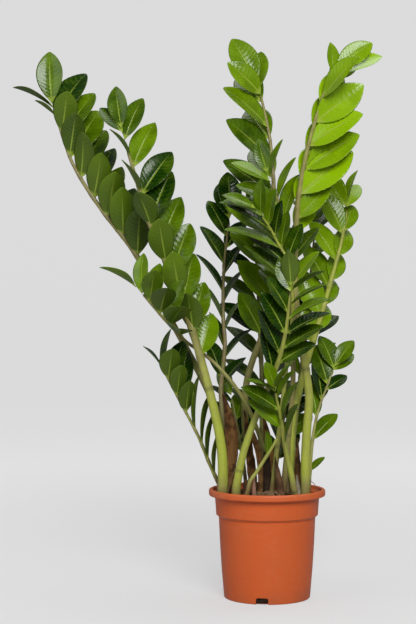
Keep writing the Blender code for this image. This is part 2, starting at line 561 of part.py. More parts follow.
def stem_mesh(name, line, radii):
    """A curve with a round bevel and closed ends, made into a mesh."""
    curve = bpy.data.curves.new(name, "CURVE")
    curve.dimensions = "3D"
    curve.bevel_depth = 1
    curve.bevel_resolution = 1
    curve.use_fill_caps = True
    spline = curve.splines.new("POLY")
    spline.points.add(len(line) - 1)
    for point, place, radius in zip(spline.points, line, radii):
        point.co = (*place, 1)
        point.radius = radius
    guide = bpy.data.objects.new(name, curve)
    bpy.context.collection.objects.link(guide)
    bpy.context.view_layer.update()
    mesh = bpy.data.meshes.new_from_object(guide.evaluated_get(bpy.context.evaluated_depsgraph_get()))
    bpy.data.objects.remove(guide)
    bm = bmesh.new()
    bm.from_mesh(mesh)
    bmesh.ops.remove_doubles(bm, verts=bm.verts, dist=1e-6)
    bpy.data.meshes.remove(mesh)
    return bm


def make_frond(frond, line, leaves, finish):
    """A stem and its leaflets, grown together as one body."""
    stem_bm = stem_mesh(frond.name, coarse_line(line), stem_radii(frond, STEM_POINTS))
    stem = object_from(stem_bm, frond.name, finish, 40)
    bm = bmesh.new()
    for foot, axes, length in leaves:
        rib, across, normal = axes
        rings, tip = leaf_stations(foot, axes, length)
        rings.insert(0, [foot + LEAF_STALK * step for step in (-across, normal, across, -normal)])
        points = [bm.verts.new(p) for ring in rings for p in ring] + [bm.verts.new(tip)]
        for face in leaf_faces(0, len(rings)) + [(0, 3, 2, 1)]:
            bm.faces.new([points[k] for k in face])
    blades = as_cutter(object_from(bm, frond.name + " leaflets"))
    combine(stem, blades, "UNION")
    return stem


def make_husk(husk, finish):
    """A dry sheath: a thin curled strip along its route."""
    bm = bmesh.new()
    line = np.array(husk.route)
    along = np.gradient(line, axis=0)
    facing = np.array([cos(radians(husk.faces)), sin(radians(husk.faces)), 0])
    points = []
    for middle, rise, half in zip(line, along, husk.half_widths):
        across = np.cross(facing, rise / np.linalg.norm(rise))
        across /= np.linalg.norm(across)
        rim = middle - facing * HUSK_CURL * half
        thick = facing * HUSK_THICKNESS / 2
        corners = (rim - across * half, middle + thick, rim + across * half, middle - thick)
        points += [bm.verts.new(p) for p in corners]
    for i in range(len(line) - 1):
        for k in range(4):
            corners = (4 * i + k, 4 * i + (k + 1) % 4, 4 * i + 4 + (k + 1) % 4, 4 * i + 4 + k)
            bm.faces.new([points[c] for c in corners])
    bm.faces.new(points[:4])
    bm.faces.new(points[-4:])
    return object_from(bm, husk.name, finish)


def make_shoot(shoot, finish):
    """A bud, stub or chip: a short tapering rod."""
    return object_from(stem_mesh(shoot.name, np.array(shoot.route), shoot.radii), shoot.name, finish, 50)


def make_root_clump(finish):
    """A low clump of dry roots lying on the soil."""
    bm = bmesh.new()
    centre, half_sizes = ROOT_CLUMP
    shape = Matrix.Translation(centre) @ Matrix.Diagonal((*half_sizes, 1))
    bmesh.ops.create_uvsphere(bm, u_segments=12, v_segments=6, radius=1, matrix=shape)
    return object_from(bm, "root_clump", finish, 60)


def add_planting_hole(bm, frond, line):
    """A stem's foot, a hair wider and longer, to cut its hole in the soil."""
    coarse = coarse_line(line)
    last = int(np.argmax(coarse[:, 2] > SOIL_MIDDLE + 0.02)) + 1
    buried = coarse[:last + 1].copy()
    radii = stem_radii(frond, STEM_POINTS)[:last + 1] + GAP * 1.6
    step = buried[1] - buried[0]
    buried[0] -= step / np.linalg.norm(step) * 0.003
    hole = stem_mesh(frond.name + " hole", buried, radii)
    mesh = bpy.data.meshes.new("hole")
    hole.to_mesh(mesh)
    hole.free()
    bm.from_mesh(mesh)
    bpy.data.meshes.remove(mesh)


# ---------------------------------------------------------------- the whole plant

def main():
    for old in list(bpy.data.objects):
        bpy.data.objects.remove(old)
    leaf_green = material("zz_leaf", (0.045, 0.12, 0.006), 0.3)
    terracotta = material("terracotta_plastic", (0.53, 0.10, 0.028), 0.45)
    earth = material("potting_soil", (0.035, 0.02, 0.012), 0.95)
    dry_husk = material("dry_husk", (0.20, 0.11, 0.05), 0.8)
    tuber_skin = material("tuber_skin", (0.28, 0.17, 0.08), 0.7)

    tubers = {tuber.name: tuber for tuber in TUBERS}
    lines = {frond.name: stem_line(frond, tubers) for frond in FRONDS}
    leaves = settle_leaves(FRONDS, lines)
    for frond in FRONDS:
        make_frond(frond, lines[frond.name], leaves[frond.name], leaf_green)
    planted = bmesh.new()
    for frond in FRONDS:
        add_planting_hole(planted, frond, lines[frond.name])
    for tuber in TUBERS:
        solid = bmesh.new()
        add_tuber(solid, tuber)
        object_from(solid, tuber.name, tuber_skin, 60)
        add_tuber(planted, tuber, GAP * 1.6)
    for husk in HUSKS:
        make_husk(husk, dry_husk)
    for shoot in SHOOTS:
        make_shoot(shoot, dry_husk)
    make_root_clump(dry_husk)
    make_pot(terracotta)
    make_soil(earth, planted)
    return leaves


main()
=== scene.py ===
"""The looks of a potted zz plant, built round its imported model: waxy leaflets on thick stems, dry
sheaths, buds and roots, crumbly soil, and a satin nursery pot, on a pale studio floor.

Metres, +Z up, with the origin at the centre of the pot's foot."""

from collections import namedtuple
from math import cos, pi, radians, sin, sqrt

import bpy
import numpy as np
from bpy.props import FloatProperty, FloatVectorProperty, IntProperty, PointerProperty
from mathutils.bvhtree import BVHTree
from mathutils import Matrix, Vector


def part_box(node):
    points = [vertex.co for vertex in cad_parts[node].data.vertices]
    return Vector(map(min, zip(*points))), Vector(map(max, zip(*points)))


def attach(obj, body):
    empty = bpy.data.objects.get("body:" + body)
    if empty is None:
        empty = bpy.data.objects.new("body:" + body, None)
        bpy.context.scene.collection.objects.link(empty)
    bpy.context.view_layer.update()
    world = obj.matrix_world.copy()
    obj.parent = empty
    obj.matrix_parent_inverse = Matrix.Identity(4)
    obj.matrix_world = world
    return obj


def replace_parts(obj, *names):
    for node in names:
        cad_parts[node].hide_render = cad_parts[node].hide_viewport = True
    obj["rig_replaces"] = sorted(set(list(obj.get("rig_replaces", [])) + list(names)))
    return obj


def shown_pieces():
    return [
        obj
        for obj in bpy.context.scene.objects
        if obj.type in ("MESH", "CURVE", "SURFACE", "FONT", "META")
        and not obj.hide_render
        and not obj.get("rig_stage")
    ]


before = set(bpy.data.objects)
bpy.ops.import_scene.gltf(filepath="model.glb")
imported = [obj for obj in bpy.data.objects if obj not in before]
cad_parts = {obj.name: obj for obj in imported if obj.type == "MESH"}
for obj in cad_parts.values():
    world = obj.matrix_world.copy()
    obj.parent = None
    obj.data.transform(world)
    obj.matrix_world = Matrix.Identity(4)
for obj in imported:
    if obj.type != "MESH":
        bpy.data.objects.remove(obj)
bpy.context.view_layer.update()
POT_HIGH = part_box("nursery_pot")[1]

bl_info = {
    "name": "Potted zz plant",
    "version": (1, 0, 0),
    "blender": (4, 5, 0),
    "location": "3D View > Sidebar > Plant",
    "description": "Builds a potted zz plant round its packed model",
    "category": "Add Mesh",
}

BODY = "root"

# Places that the plain model was built with
SOIL_EDGE = 0.1790
SOIL_MIDDLE = 0.1835
BURIED_SLANT = 0.7
STRAIGHT_DEPTH = 0.012
TUBER_REACH = 0.8
FOOT_GAP = 0.0012
LEAF_PROPORTION = 0.54
LEAF_THICKNESS = 0.0016
LEAF_FOLD = 0.22
LEAF_ARCH = 0.10
LEAF_STATIONS = (0.30, 0.70)
TEST_STATIONS = (0.10, *LEAF_STATIONS)
ELBOW_ROOM = 0.0012
LINE_POINTS = 60

# Heights and radii that several steps share
COLLAR_EDGE = 0.1472
SOIL_RADIUS = 0.0915

# Seeds, so that every run draws the same numbers
BLADE_SEED, TONE_SEED, STEM_SEED, HUSK_SEED, SHOOT_SEED = 100, 300, 7, 40, 60
LUMP_SEED, GRAIN_SEED, CRUMB_SEED, ROOT_SEED = 21, 22, 11, 31

# Angles in degrees between faces, above which an edge stays sharp
POT_SHARP = 38
CRUMB_SHARP = 30

Tuber = namedtuple("Tuber", "name x y radius half_height z")
Rank = namedtuple("Rank", "count span length spread side turn")
Frond = namedtuple("Frond", "name tuber route radius ranks tip extra", defaults=((),))
Leaf = namedtuple("Leaf", "share length spread side turn")
Husk = namedtuple("Husk", "name route half_widths faces")
Shoot = namedtuple("Shoot", "name route radii")
FrondLook = namedtuple("FrondLook", "leaf_tone foot_green tip_green")

TUBERS = (
    Tuber("tuber_left", -0.049, -0.010, 0.031, 0.018, 0.128),
    Tuber("tuber_back", 0.011, 0.049, 0.031, 0.018, 0.128),
    Tuber("tuber_front", 0.000, -0.050, 0.031, 0.018, 0.128),
    Tuber("tuber_right", 0.050, -0.002, 0.031, 0.018, 0.128),
    Tuber("tuber_small", -0.044, 0.044, 0.018, 0.014, 0.132),
)

# Dry papery sheaths: a route from the soil up, half widths from foot to tip, and the way they face.
HUSKS = (
    Husk("husk_broad", ((-0.069, 0.010, 0.187), (-0.066, 0.010, 0.222), (-0.063, 0.010, 0.262),
                        (-0.065, 0.010, 0.304), (-0.072, 0.010, 0.340), (-0.079, 0.010, 0.366)),
         (0.0095, 0.0105, 0.0125, 0.0125, 0.0075, 0.002), -80),
    Husk("husk_back", ((-0.024, 0.017, 0.188), (-0.027, 0.018, 0.226), (-0.033, 0.019, 0.281),
                       (-0.040, 0.020, 0.335)), (0.008, 0.008, 0.006, 0.001), -85),
    Husk("husk_curled", ((-0.012, -0.012, 0.189), (-0.011, -0.011, 0.222), (-0.014, -0.010, 0.256),
                         (-0.024, -0.010, 0.290), (-0.036, -0.012, 0.314)),
         (0.0055, 0.0055, 0.0058, 0.006, 0.001), -60),
    Husk("husk_dark", ((0.006, 0.045, 0.187), (0.006, 0.046, 0.232), (0.003, 0.047, 0.280),
                       (-0.004, 0.048, 0.322)), (0.012, 0.011, 0.008, 0.002), -88),
    Husk("husk_right", ((0.058, 0.012, 0.187), (0.057, 0.013, 0.235), (0.056, 0.013, 0.285)),
         (0.006, 0.006, 0.001), -70),
    Husk("husk_pale", ((0.055, -0.052, 0.187), (0.054, -0.053, 0.205), (0.050, -0.056, 0.226)),
         (0.003, 0.003, 0.001), -50),
)

# Buds and old stumps standing on the soil: a route and radii, from the foot up.
SHOOTS = (
    Shoot("old_stump", ((0.002, 0.001, 0.187), (0.001, 0.001, 0.212), (-0.001, 0.000, 0.240),
                        (-0.002, -0.001, 0.262)), (0.0095, 0.0090, 0.0080, 0.0050)),
    Shoot("brown_bud", ((0.023, -0.031, 0.187), (0.021, -0.031, 0.208), (0.017, -0.030, 0.232),
                        (0.013, -0.030, 0.255)), (0.0080, 0.0070, 0.0045, 0.0008)),
    Shoot("pink_bud", ((-0.025, -0.050, 0.186), (-0.025, -0.051, 0.200), (-0.025, -0.051, 0.213),
                       (-0.024, -0.052, 0.221)), (0.0036, 0.0036, 0.0026, 0.0006)),
    Shoot("cut_stub", ((-0.040, -0.050, 0.187), (-0.040, -0.050, 0.202), (-0.039, -0.051, 0.216)),
          (0.0052, 0.0050, 0.0046)),
    Shoot("bark_chip", ((-0.012, -0.066, 0.188), (-0.004, -0.070, 0.196), (0.005, -0.071, 0.195),
                        (0.011, -0.068, 0.188)), (0.0018, 0.0034, 0.0034, 0.0016)),
)

# Loose root threads: routes from a stem's foot down to the soil, or along the soil.
THREADS = (
    ((-0.058, -0.040, 0.236), (-0.066, -0.046, 0.214), (-0.071, -0.048, 0.196), (-0.073, -0.049, 0.182)),
    ((0.076, -0.028, 0.212), (0.083, -0.030, 0.207), (0.087, -0.024, 0.196), (0.084, -0.022, 0.182)),
    ((-0.018, -0.066, 0.1835), (-0.030, -0.074, 0.190), (-0.044, -0.070, 0.185), (-0.052, -0.066, 0.1815)),
    ((0.026, -0.066, 0.183), (0.036, -0.072, 0.189), (0.046, -0.069, 0.1835), (0.053, -0.064, 0.1815)),
)

# A frond's route runs from the soil to its tip, in mm. Its radii are those of its foot and its tip.
# A rank is a row of leaflets along one side: how many, from which share of the route to which,
# then lengths in mm, and degrees of spread (away from the stem), side (0 is +X, 90 is +Y, round
# the stem) and turn (of the blade about its own midrib), each spread evenly from foot to tip.
# The front fronds come first, since later leaflets make room for those that stand already.
FRONDS = (
    Frond("frond_left_outer", "tuber_left",
          ((-74, 30, 185), (-81, 35, 280), (-99, 35, 353), (-143, 35, 441), (-195, 38, 536),
          (-242, 42, 624), (-296, 48, 694), (-335, 52, 750), (-361, 55, 798), (-380, 58, 854),
          (-395, 60, 900)), (0.008, 0.002), (Rank(7, (0.61, 0.93), (100, 98, 94, 90, 84), (42, 46, 46, 38),
          (-40, -36, -36, -44), (-50, -54, -52)), Rank(7, (0.68, 0.97), (100, 114, 116, 108), (54, 54, 48),
          (24, 22, 20), (40, 46, 50))), Leaf(1, 98, 14, 0, 80), (Leaf(0.99, 84, 30, 180, 0),
          Leaf(0.97, 50, 24, 180, 10))),
    Frond("frond_left_inner", "tuber_left",
          ((-80, -24, 186), (-82, -34, 268), (-98, -40, 349), (-123, -40, 443), (-142, -44, 503),
          (-163, -48, 558), (-188, -52, 618), (-213, -58, 680), (-233, -64, 747), (-249, -70, 802),
          (-259, -74, 837)), (0.0098, 0.002), (Rank(6, (0.47, 0.93), (82, 92, 94, 80, 74, 64),
          (22, 22, 24, 28, 28), (-60, -60, -70, -100, -110), (-14, -16, -20, -50, -60)), Rank(9,
          (0.41, 0.97), (84, 92, 102, 104, 100, 84), (34, 34, 42, 44, 42, 38), (25, 8, 20, 20),
          (62, 64, 52, 48))), Leaf(1, 74, 8, 0, 80), (Leaf(0.965, 82, 14, 180, 0),
          Leaf(0.99, 62, 20, 150, -30))),
    Frond("frond_left_crossing", "tuber_back",
          ((-1, 30, 185), (-6, 20, 263), (-34, 5, 340), (-70, 0, 395), (-110, 0, 435), (-139, -12, 455),
          (-171, -42, 487), (-195, -60, 514), (-214, -68, 537), (-233, -72, 558)), (0.005, 0.0018), (Rank(4,
          (0.76, 0.93), (88, 86, 78), (48, 50, 50), (-26, -26, -26), (-64, -64, -62)), Rank(3, (0.85, 0.97),
          (80, 80, 75), (54, 50, 46), (25, 28, 35), (25, 25, 25))), Leaf(1, 73, 12, 180, 25)),
    Frond("frond_left_low", "tuber_left",
          ((-83, 2, 194), (-105, -2, 243), (-121, -4, 283), (-139, -5, 319), (-166, -12, 370),
          (-189, -18, 414)), (0.004, 0.0015), (Rank(3, (0.69, 0.92), (70, 72), (38, 42), (-35, -40),
          (-30, -50)), Rank(8, (0.27, 0.97), (92, 105, 98, 80), (26, 30, 34), (5, 18, 25), (-16, -10, -4))),
          Leaf(1, 52, 6, 180, 0)),
    Frond("frond_front_centre", "tuber_front",
          ((-57, -50, 195), (-54, -54, 217), (-45, -61, 262), (-31, -70, 307), (-14, -80, 351),
          (3, -90, 395), (15, -96, 425), (27, -106, 474), (32, -114, 514), (36, -122, 559)),
          (0.0085, 0.0016), (Rank(6, (0.69, 0.98), (75, 85, 88, 78, 68), (38, 46, 50, 48), (0, 0, -8),
          (30, 10, -15)), Rank(5, (0.64, 0.98), (88, 90, 78, 62), (32, 28, 22), (180, 180, 180),
          (-60, -50, -40))), Leaf(1, 62, 8, 180, 75)),
    Frond("frond_front_low", "tuber_front",
          ((46, -50, 195), (42, -55, 220), (34, -62, 253), (27, -76, 286), (21, -92, 326), (13, -104, 361),
          (9, -110, 382)), (0.0068, 0.0016), (Rank(4, (0.56, 0.98), (84, 82, 80, 58), (32, 36, 44),
          (180, 185, 185), (-30, -20, 5)), Rank(3, (0.58, 0.92), (86, 80, 60), (20, 22, 26), (-10, -10, 0),
          (12, 14, 40))), Leaf(1, 50, 8, 180, -60), (Leaf(0.985, 68, 26, 20, 20),)),
    Frond("frond_young_shoot", "tuber_front",
          ((-38, -73, 194), (-33, -76, 216), (-21, -78, 234), (-5, -80, 260), (7, -84, 280),
          (16, -88, 298)), (0.0042, 0.0024), (Rank(2, (0.76, 0.92), (46, 50), (30, 24), (180, 0),
          (-40, 40)),), Leaf(1, 50, 10, 0, 60)),
    Frond("frond_centre_left", "tuber_front",
          ((9, -10, 194), (19, -18, 284), (33, -28, 410), (44, -44, 518), (35, -52, 603), (21, -52, 629),
          (1, -60, 666), (-12, -66, 683), (-24, -70, 697)), (0.005, 0.0016), (Rank(5, (0.81, 0.97),
          (70, 68, 68, 68), (38, 36, 36), (0, -10, -10), (45, 40, 50)), Rank(5, (0.73, 0.97),
          (112, 112, 100, 78), (32, 28, 20), (180, 180, 180), (-25, -15, -15))), Leaf(1, 62, 25, 180, -30)),
    Frond("frond_right_low", "tuber_right",
          ((77, 20, 190), (79, 22, 222), (83, 26, 269), (89, 34, 307), (99, 42, 343), (113, 50, 378),
          (128, 58, 414)), (0.004, 0.0014), (Rank(4, (0.64, 0.98), (70, 84, 80, 72), (30, 34, 40),
          (180, 180, 170), (-60, -70, -60)), Rank(2, (0.29, 0.49), (38, 68), (38, 32), (0, 0), (35, 50)),
          Rank(2, (0.83, 0.97), (55, 55), (34, 30), (30, 30), (40, 40))), Leaf(1, 62, 12, 0, 70)),
    Frond("frond_right_top", "tuber_right",
          ((68, -15, 191), (68, -15, 239), (71, -15, 302), (75, -18, 367), (67, -20, 419), (56, -24, 491),
          (49, -28, 553), (49, -34, 625), (53, -42, 704), (64, -48, 775), (76, -54, 827), (88, -58, 867),
          (100, -62, 909), (119, -66, 944)), (0.009, 0.002), (Rank(7, (0.66, 0.98),
          (86, 122, 118, 112, 108, 104, 98), (40, 42, 38, 36, 36, 34, 32), (-14, -16, -18),
          (74, 72, 68, 66)), Rank(7, (0.63, 0.97), (85, 95, 100, 95, 90, 85), (40, 42, 36, 30),
          (60, 60, 60), (30, 30, 30))), Leaf(1, 78, 26, 0, 70), (Leaf(0.985, 56, 22, 180, -60),)),
    Frond("frond_right_outer", "tuber_right",
          ((56, 30, 189), (49, 34, 230), (46, 38, 298), (59, 42, 362), (75, 44, 422), (92, 46, 477),
          (107, 48, 527), (122, 52, 579), (139, 56, 641), (148, 60, 688), (152, 62, 721)), (0.0092, 0.0018),
          (Rank(6, (0.54, 0.98), (76, 92, 96, 90, 86, 74), (28, 34, 38, 34), (180, 180, 180),
          (-66, -66, -70)), Rank(6, (0.58, 0.98), (70, 75, 70, 62), (34, 30, 26), (80, 85, 60),
          (20, 20, 20))), Leaf(1, 60, 6, 0, 25), (Leaf(0.995, 62, 32, 180, -70),)),
    Frond("frond_centre_mid", "tuber_right",
          ((31, 12, 191), (39, 15, 281), (48, 16, 390), (46, 14, 499), (42, 12, 590), (38, 6, 644),
          (25, -5, 698), (9, -10, 743), (0, -10, 766)), (0.006, 0.0018), (Rank(6, (0.66, 0.98),
          (85, 88, 92, 85, 75), (38, 40, 36), (10, 5, 0), (25, 15, 12)), Rank(6, (0.61, 0.97),
          (88, 98, 92, 80), (38, 44, 40), (170, 175, 180), (-35, -30, -30))), Leaf(1, 62, 5, 0, 75)),
    Frond("frond_back_dark", "tuber_small",
          ((-62, 55, 186), (-73, 60, 277), (-81, 70, 341), (-82, 78, 378), (-75, 90, 452), (-78, 98, 499),
          (-78, 108, 555), (-76, 118, 608), (-71, 126, 650), (-65, 134, 700)), (0.006, 0.0016), (Rank(6,
          (0.44, 0.92), (80, 78, 92, 92, 85), (22, 22, 30, 30), (190, 180, 170), (-60, -15, -20, -50)),
          Rank(6, (0.41, 0.88), (75, 80, 80, 70), (30, 28, 25), (0, 10, 10), (35, 8, 12, 45))),
          Leaf(1, 85, 8, 180, -75), (Leaf(0.985, 80, 22, 150, -50),)),
    Frond("frond_centre_top", "tuber_back",
          ((-22, 32, 188), (-30, 35, 252), (-39, 40, 316), (-33, 45, 398), (-3, 52, 481), (15, 56, 555),
          (19, 62, 629), (16, 72, 741), (9, 82, 835), (-6, 90, 910), (-15, 94, 945)), (0.0075, 0.002),
          (Rank(8, (0.41, 0.97), (92, 100, 106, 112, 118, 118, 112, 86), (48, 54, 58, 54, 42, 32),
          (-164, -164, -162, -152, -140), (-76, -74, -72, -66)), Rank(7, (0.42, 0.95),
          (85, 95, 100, 105, 100), (44, 46, 42, 32), (118, 118, 122), (-30, -30, -40))),
          Leaf(1, 98, 14, 180, -80), (Leaf(0.985, 78, 8, 10, 30),)),
    Frond("frond_back_centre", "tuber_back",
          ((-7, 62, 188), (-6, 82, 275), (-5, 104, 367), (-8, 134, 480), (-13, 160, 595), (-18, 182, 702)),
          (0.006, 0.0016), (Rank(8, (0.31, 0.97), (85, 95, 95, 85, 75), (45, 50, 45), (175, 190, 180),
          (-30, -50, -30)), Rank(8, (0.34, 0.95), (85, 95, 95, 85, 75), (45, 50, 45), (10, 0, 10),
          (30, 50, 30))), Leaf(1, 70, 5, 0, 75)),
    Frond("frond_back_right", "tuber_back",
          ((41, 55, 189), (51, 72, 276), (66, 92, 387), (80, 114, 499), (91, 134, 613), (99, 146, 686)),
          (0.006, 0.0016), (Rank(7, (0.36, 0.98), (85, 92, 92, 85, 72), (45, 48, 42), (175, 185, 180),
          (-40, -60, -40)), Rank(7, (0.39, 0.97), (85, 90, 90, 80, 66), (40, 42, 36), (10, 25, 20),
          (30, 30, 30))), Leaf(1, 70, 5, 0, 75)),
    Frond("frond_low_back_left", "tuber_small",
          ((-36, 68, 188), (-40, 74, 230), (-47, 84, 275), (-56, 94, 321), (-63, 102, 358)),
          (0.0042, 0.0015), (Rank(3, (0.51, 0.92), (66, 70, 60), (26, 28, 30), (180, 180, 180),
          (-50, -50, -50)), Rank(4, (0.44, 0.95), (74, 80, 74, 62), (30, 32, 34), (0, 5, 0), (50, 45, 50))),
          Leaf(1, 66, 8, 0, 75)),
    Frond("frond_low_back_right", "tuber_back",
          ((16, 74, 189), (22, 80, 238), (30, 88, 284), (38, 96, 330), (46, 104, 367)), (0.0042, 0.0015),
          (Rank(4, (0.36, 0.92), (72, 80, 78, 64), (30, 34, 36), (180, 175, 180), (-50, -45, -50)), Rank(4,
          (0.42, 0.93), (72, 80, 78, 64), (30, 34, 34), (0, 5, 0), (50, 45, 50))), Leaf(1, 66, 8, 0, 75)),
)

# How light a frond's leaflets are, and how green its stem is at the foot and at the tip.
# The leaf tone is partly each frond's age, dark when mature and bright when young, and partly painted
# shade: the back fronds and the low fronds are made darker for the shade that falls on them.
FROND_LOOKS = {
    "frond_left_outer": FrondLook(0.18, 0.45, 0.30),
    "frond_left_inner": FrondLook(0.26, 1.00, 0.30),
    "frond_left_crossing": FrondLook(0.42, 0.45, 0.40),
    "frond_left_low": FrondLook(0.12, 0.55, 0.50),
    "frond_front_centre": FrondLook(0.22, 1.00, 0.70),
    "frond_front_low": FrondLook(0.34, 0.95, 0.75),
    "frond_young_shoot": FrondLook(0.55, 0.62, 0.70),
    "frond_centre_left": FrondLook(0.20, 0.60, 0.85),
    "frond_right_low": FrondLook(0.16, 0.85, 0.50),
    "frond_right_top": FrondLook(0.86, 0.90, 0.40),
    "frond_right_outer": FrondLook(0.62, 1.00, 0.85),
    "frond_centre_mid": FrondLook(0.44, 0.40, 0.25),
    "frond_back_dark": FrondLook(0.02, 0.35, 0.15),
    "frond_centre_top": FrondLook(0.38, 0.45, 0.30),
    "frond_back_centre": FrondLook(0.05, 0.60, 0.40),
    "frond_back_right": FrondLook(0.08, 0.60, 0.40),
    "frond_low_back_left": FrondLook(0.16, 0.50, 0.40),
    "frond_low_back_right": FrondLook(0.20, 0.50, 0.40),
}


# ---------------------------------------------------------------- sizes and colours a user may change

def colour_setting(name, description, default):
    """A colour on the panel."""
    return FloatVectorProperty(name=name, description=description, size=3, default=default, min=0, max=1,
                               subtype="COLOR")


def length_setting(name, description, default, **limits):
    """A length on the panel."""
    return FloatProperty(name=name, description=description, default=default, subtype="DISTANCE",
                         unit="LENGTH", **limits)


def number_setting(name, description, default, **settings):
    """A plain number or a power on the panel."""
    return FloatProperty(name=name, description=description, default=default, **settings)


class PlantSettings(bpy.types.PropertyGroup):
    """Shape and colours of the leaves and stems."""
    leaf_wave: number_setting("Leaf wave", "Height of the waves in a leaflet's margin, per length", 0.012,
                              min=0, max=0.05)
    leaf_edge: length_setting("Leaf edge", "Thickness of a leaflet's blade", 0.0011, min=0.0004, max=0.003)
    leaf_dark: colour_setting("Dark leaf", "Colour of the darkest leaflets", (0.007, 0.034, 0.0005))
    leaf_bright: colour_setting("Bright leaf", "Colour of the youngest leaflets", (0.262, 0.455, 0.002))
    leaf_under: colour_setting("Leaf underside", "Colour of the undersides", (0.092, 0.150, 0.010))
    # Painted backlight: the colour that stands in for light shining through the undersides.
    leaf_backlit: colour_setting("Painted backlit underside", "Colour of the undersides that let light through",
                                 (0.160, 0.285, 0.003))
    leaf_rib: colour_setting("Midrib", "Colour of the midribs and leaf stalks", (0.330, 0.440, 0.050))
    stem_green: colour_setting("Green stem", "Colour of a young stem's foot", (0.450, 0.515, 0.055))
    stem_brown: colour_setting("Brown stem", "Colour of an old stem", (0.240, 0.165, 0.060))


class PotSettings(bpy.types.PropertyGroup):
    """Sizes and finish of the pot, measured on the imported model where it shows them."""
    lip_radius: length_setting("Lip radius", "Outer radius of the rolled lip", POT_HIGH[0])
    height: length_setting("Height", "Height of the pot", POT_HIGH[2])
    wall: length_setting("Wall", "Thickness of the wall", 0.0020)
    colour: colour_setting("Plastic", "Colour of the plastic", (0.700, 0.120, 0.021))
    worn: colour_setting("Worn plastic", "Colour where the plastic is rubbed", (0.680, 0.210, 0.090))


class SoilSettings(bpy.types.PropertyGroup):
    """The soil and what lies on it."""
    crumbs: IntProperty(name="Crumbs", description="How many crumbs lie on the soil", default=900,
                        min=0, max=4000)
    crumb_size: length_setting("Crumb size", "Radius of a middling crumb", 0.0016)
    root_fibres: IntProperty(name="Root fibres", description="How many fibres are in the root clump",
                             default=90, min=1, max=400)


class StageSettings(bpy.types.PropertyGroup):
    """Floor, lights and camera."""
    camera_place: FloatVectorProperty(name="Camera", description="Where the camera stands", size=3,
                                      default=(-0.1066, -2.6, 0.514), subtype="TRANSLATION", unit="LENGTH")
    lens: number_setting("Lens", "Focal length of the camera in millimetres", 83.0)
    floor_colour: colour_setting("Floor", "Colour of the floor", (0.31, 0.31, 0.312))
    key_power: number_setting("Key light", "Power of the main soft light", 66.0, unit="POWER")
    fill_power: number_setting("Fill light", "Power of the second soft light", 10.0, unit="POWER")
    top_power: number_setting("Top light", "Power of the light overhead", 20.0, unit="POWER")
    floor_glow: number_setting("Floor glow", "Light that the floor gives of itself", 0.61)
    world_light: number_setting("World light", "Strength of the even light all round", 0.08)


# ---------------------------------------------------------------- where the leaflets stand

def spread_evenly(values, share):
    """The value at a share of the way through a short list of key values."""
    return float(np.interp(share, np.linspace(0, 1, len(values)), values))


def smooth_route(points, count):
    """A smooth curve through the points (Catmull-Rom), resampled at even steps."""
    points = np.array(points, float)
    ends = np.vstack([2 * points[0] - points[1], points, 2 * points[-1] - points[-2]])
    t = np.linspace(0, 1, 24, endpoint=False)[:, None]
    spans = [0.5 * (2 * b + (c - a) * t + (2 * a - 5 * b + 4 * c - d) * t**2
                    + (3 * b - a - 3 * c + d) * t**3)
             for a, b, c, d in zip(ends[:-3], ends[1:-2], ends[2:-1], ends[3:])]
    line = np.vstack(spans + [points[-1:]])
    walked = np.concatenate([[0], np.cumsum(np.linalg.norm(np.diff(line, axis=0), axis=1))])
    even = np.linspace(0, walked[-1], count)
    return np.stack([np.interp(even, walked, line[:, k]) for k in range(3)], axis=1)


def place_on(line, share):
    """The point and the unit tangent at a share of an evenly stepped line."""
    step = share * (len(line) - 1)
    i = min(int(step), len(line) - 2)
    point = line[i] + (line[i + 1] - line[i]) * (step - i)
    along = line[min(i + 3, len(line) - 1)] - line[max(i - 2, 0)]
    return point, along / np.linalg.norm(along)


def leaf_axes(tangent, spread, side, turn):
    """A leaflet's midrib, across and upper directions, from the stem's tangent and three angles."""
    spread, side, turn = np.radians([spread, side, turn])
    right = np.array([1.0, 0, 0]) - tangent[0] * tangent
    right = right / np.linalg.norm(right)
    out = cos(side) * right + sin(side) * np.cross(tangent, right)
    rib = cos(spread) * tangent + sin(spread) * out
    up = sin(spread) * tangent - cos(spread) * out
    normal = cos(turn) * up + sin(turn) * np.cross(rib, up)
    return rib, np.cross(rib, normal), normal


def leaf_stations(foot, axes, length, shares=LEAF_STATIONS, grow=0.0):
    """Cross-sections of a leaflet, each as its left, top, right and bottom points, and its tip."""
    rib, across, normal = axes
    rings = []
    for share in shares:
        half = sin(pi * share ** 0.86) ** 0.78 * LEAF_PROPORTION * length / 2
        middle = foot + rib * length * share - normal * LEAF_ARCH * length * share**2
        raised = normal * LEAF_FOLD * half
        thick = normal * (LEAF_THICKNESS / 2 + grow)
        rings.append((middle - across * (half + grow) + raised, middle + thick,
                      middle + across * (half + grow) + raised, middle - thick))
    tip = foot + rib * (length + grow) - normal * LEAF_ARCH * length
    return rings, tip


def leaf_faces(first, ring_count):
    """Quads between successive rings of four points, and the point of the tip."""
    faces = []
    for i in range(ring_count - 1):
        a, b = first + 4 * i, first + 4 * i + 4
        faces += [(a + k, a + (k + 1) % 4, b + (k + 1) % 4, b + k) for k in range(4)]
    last, tip = first + 4 * ring_count - 4, first + 4 * ring_count
    faces += [(last + k, last + (k + 1) % 4, tip) for k in range(4)]
    return faces


def wished_leaves(frond):
    """The leaflets as the frond's ranks ask for them, from the tip down."""
    leaves = [frond.tip, *frond.extra]
    for rank in frond.ranks:
        for i in range(rank.count):
            q = i / max(rank.count - 1, 1)
            share = rank.span[0] + q * (rank.span[1] - rank.span[0])
            keys = (rank.length, rank.spread, rank.side, rank.turn)
            leaves.append(Leaf(share, *(spread_evenly(key, q) for key in keys)))
    return sorted(leaves, key=lambda leaf: -leaf.share)


def elbow_room_choices():
    """How far a leaflet may give way, in degrees of spread, side and turn, least first."""
    choices = [(a, b, c) for a in (0, -8, 8, -16) for b in (0, -12, 12, -24, 24, -38, 38)
               for c in (0, -18, 18, -36, 36)]
    return sorted(choices, key=lambda move: abs(move[0]) + abs(move[1]) + 0.6 * abs(move[2]))


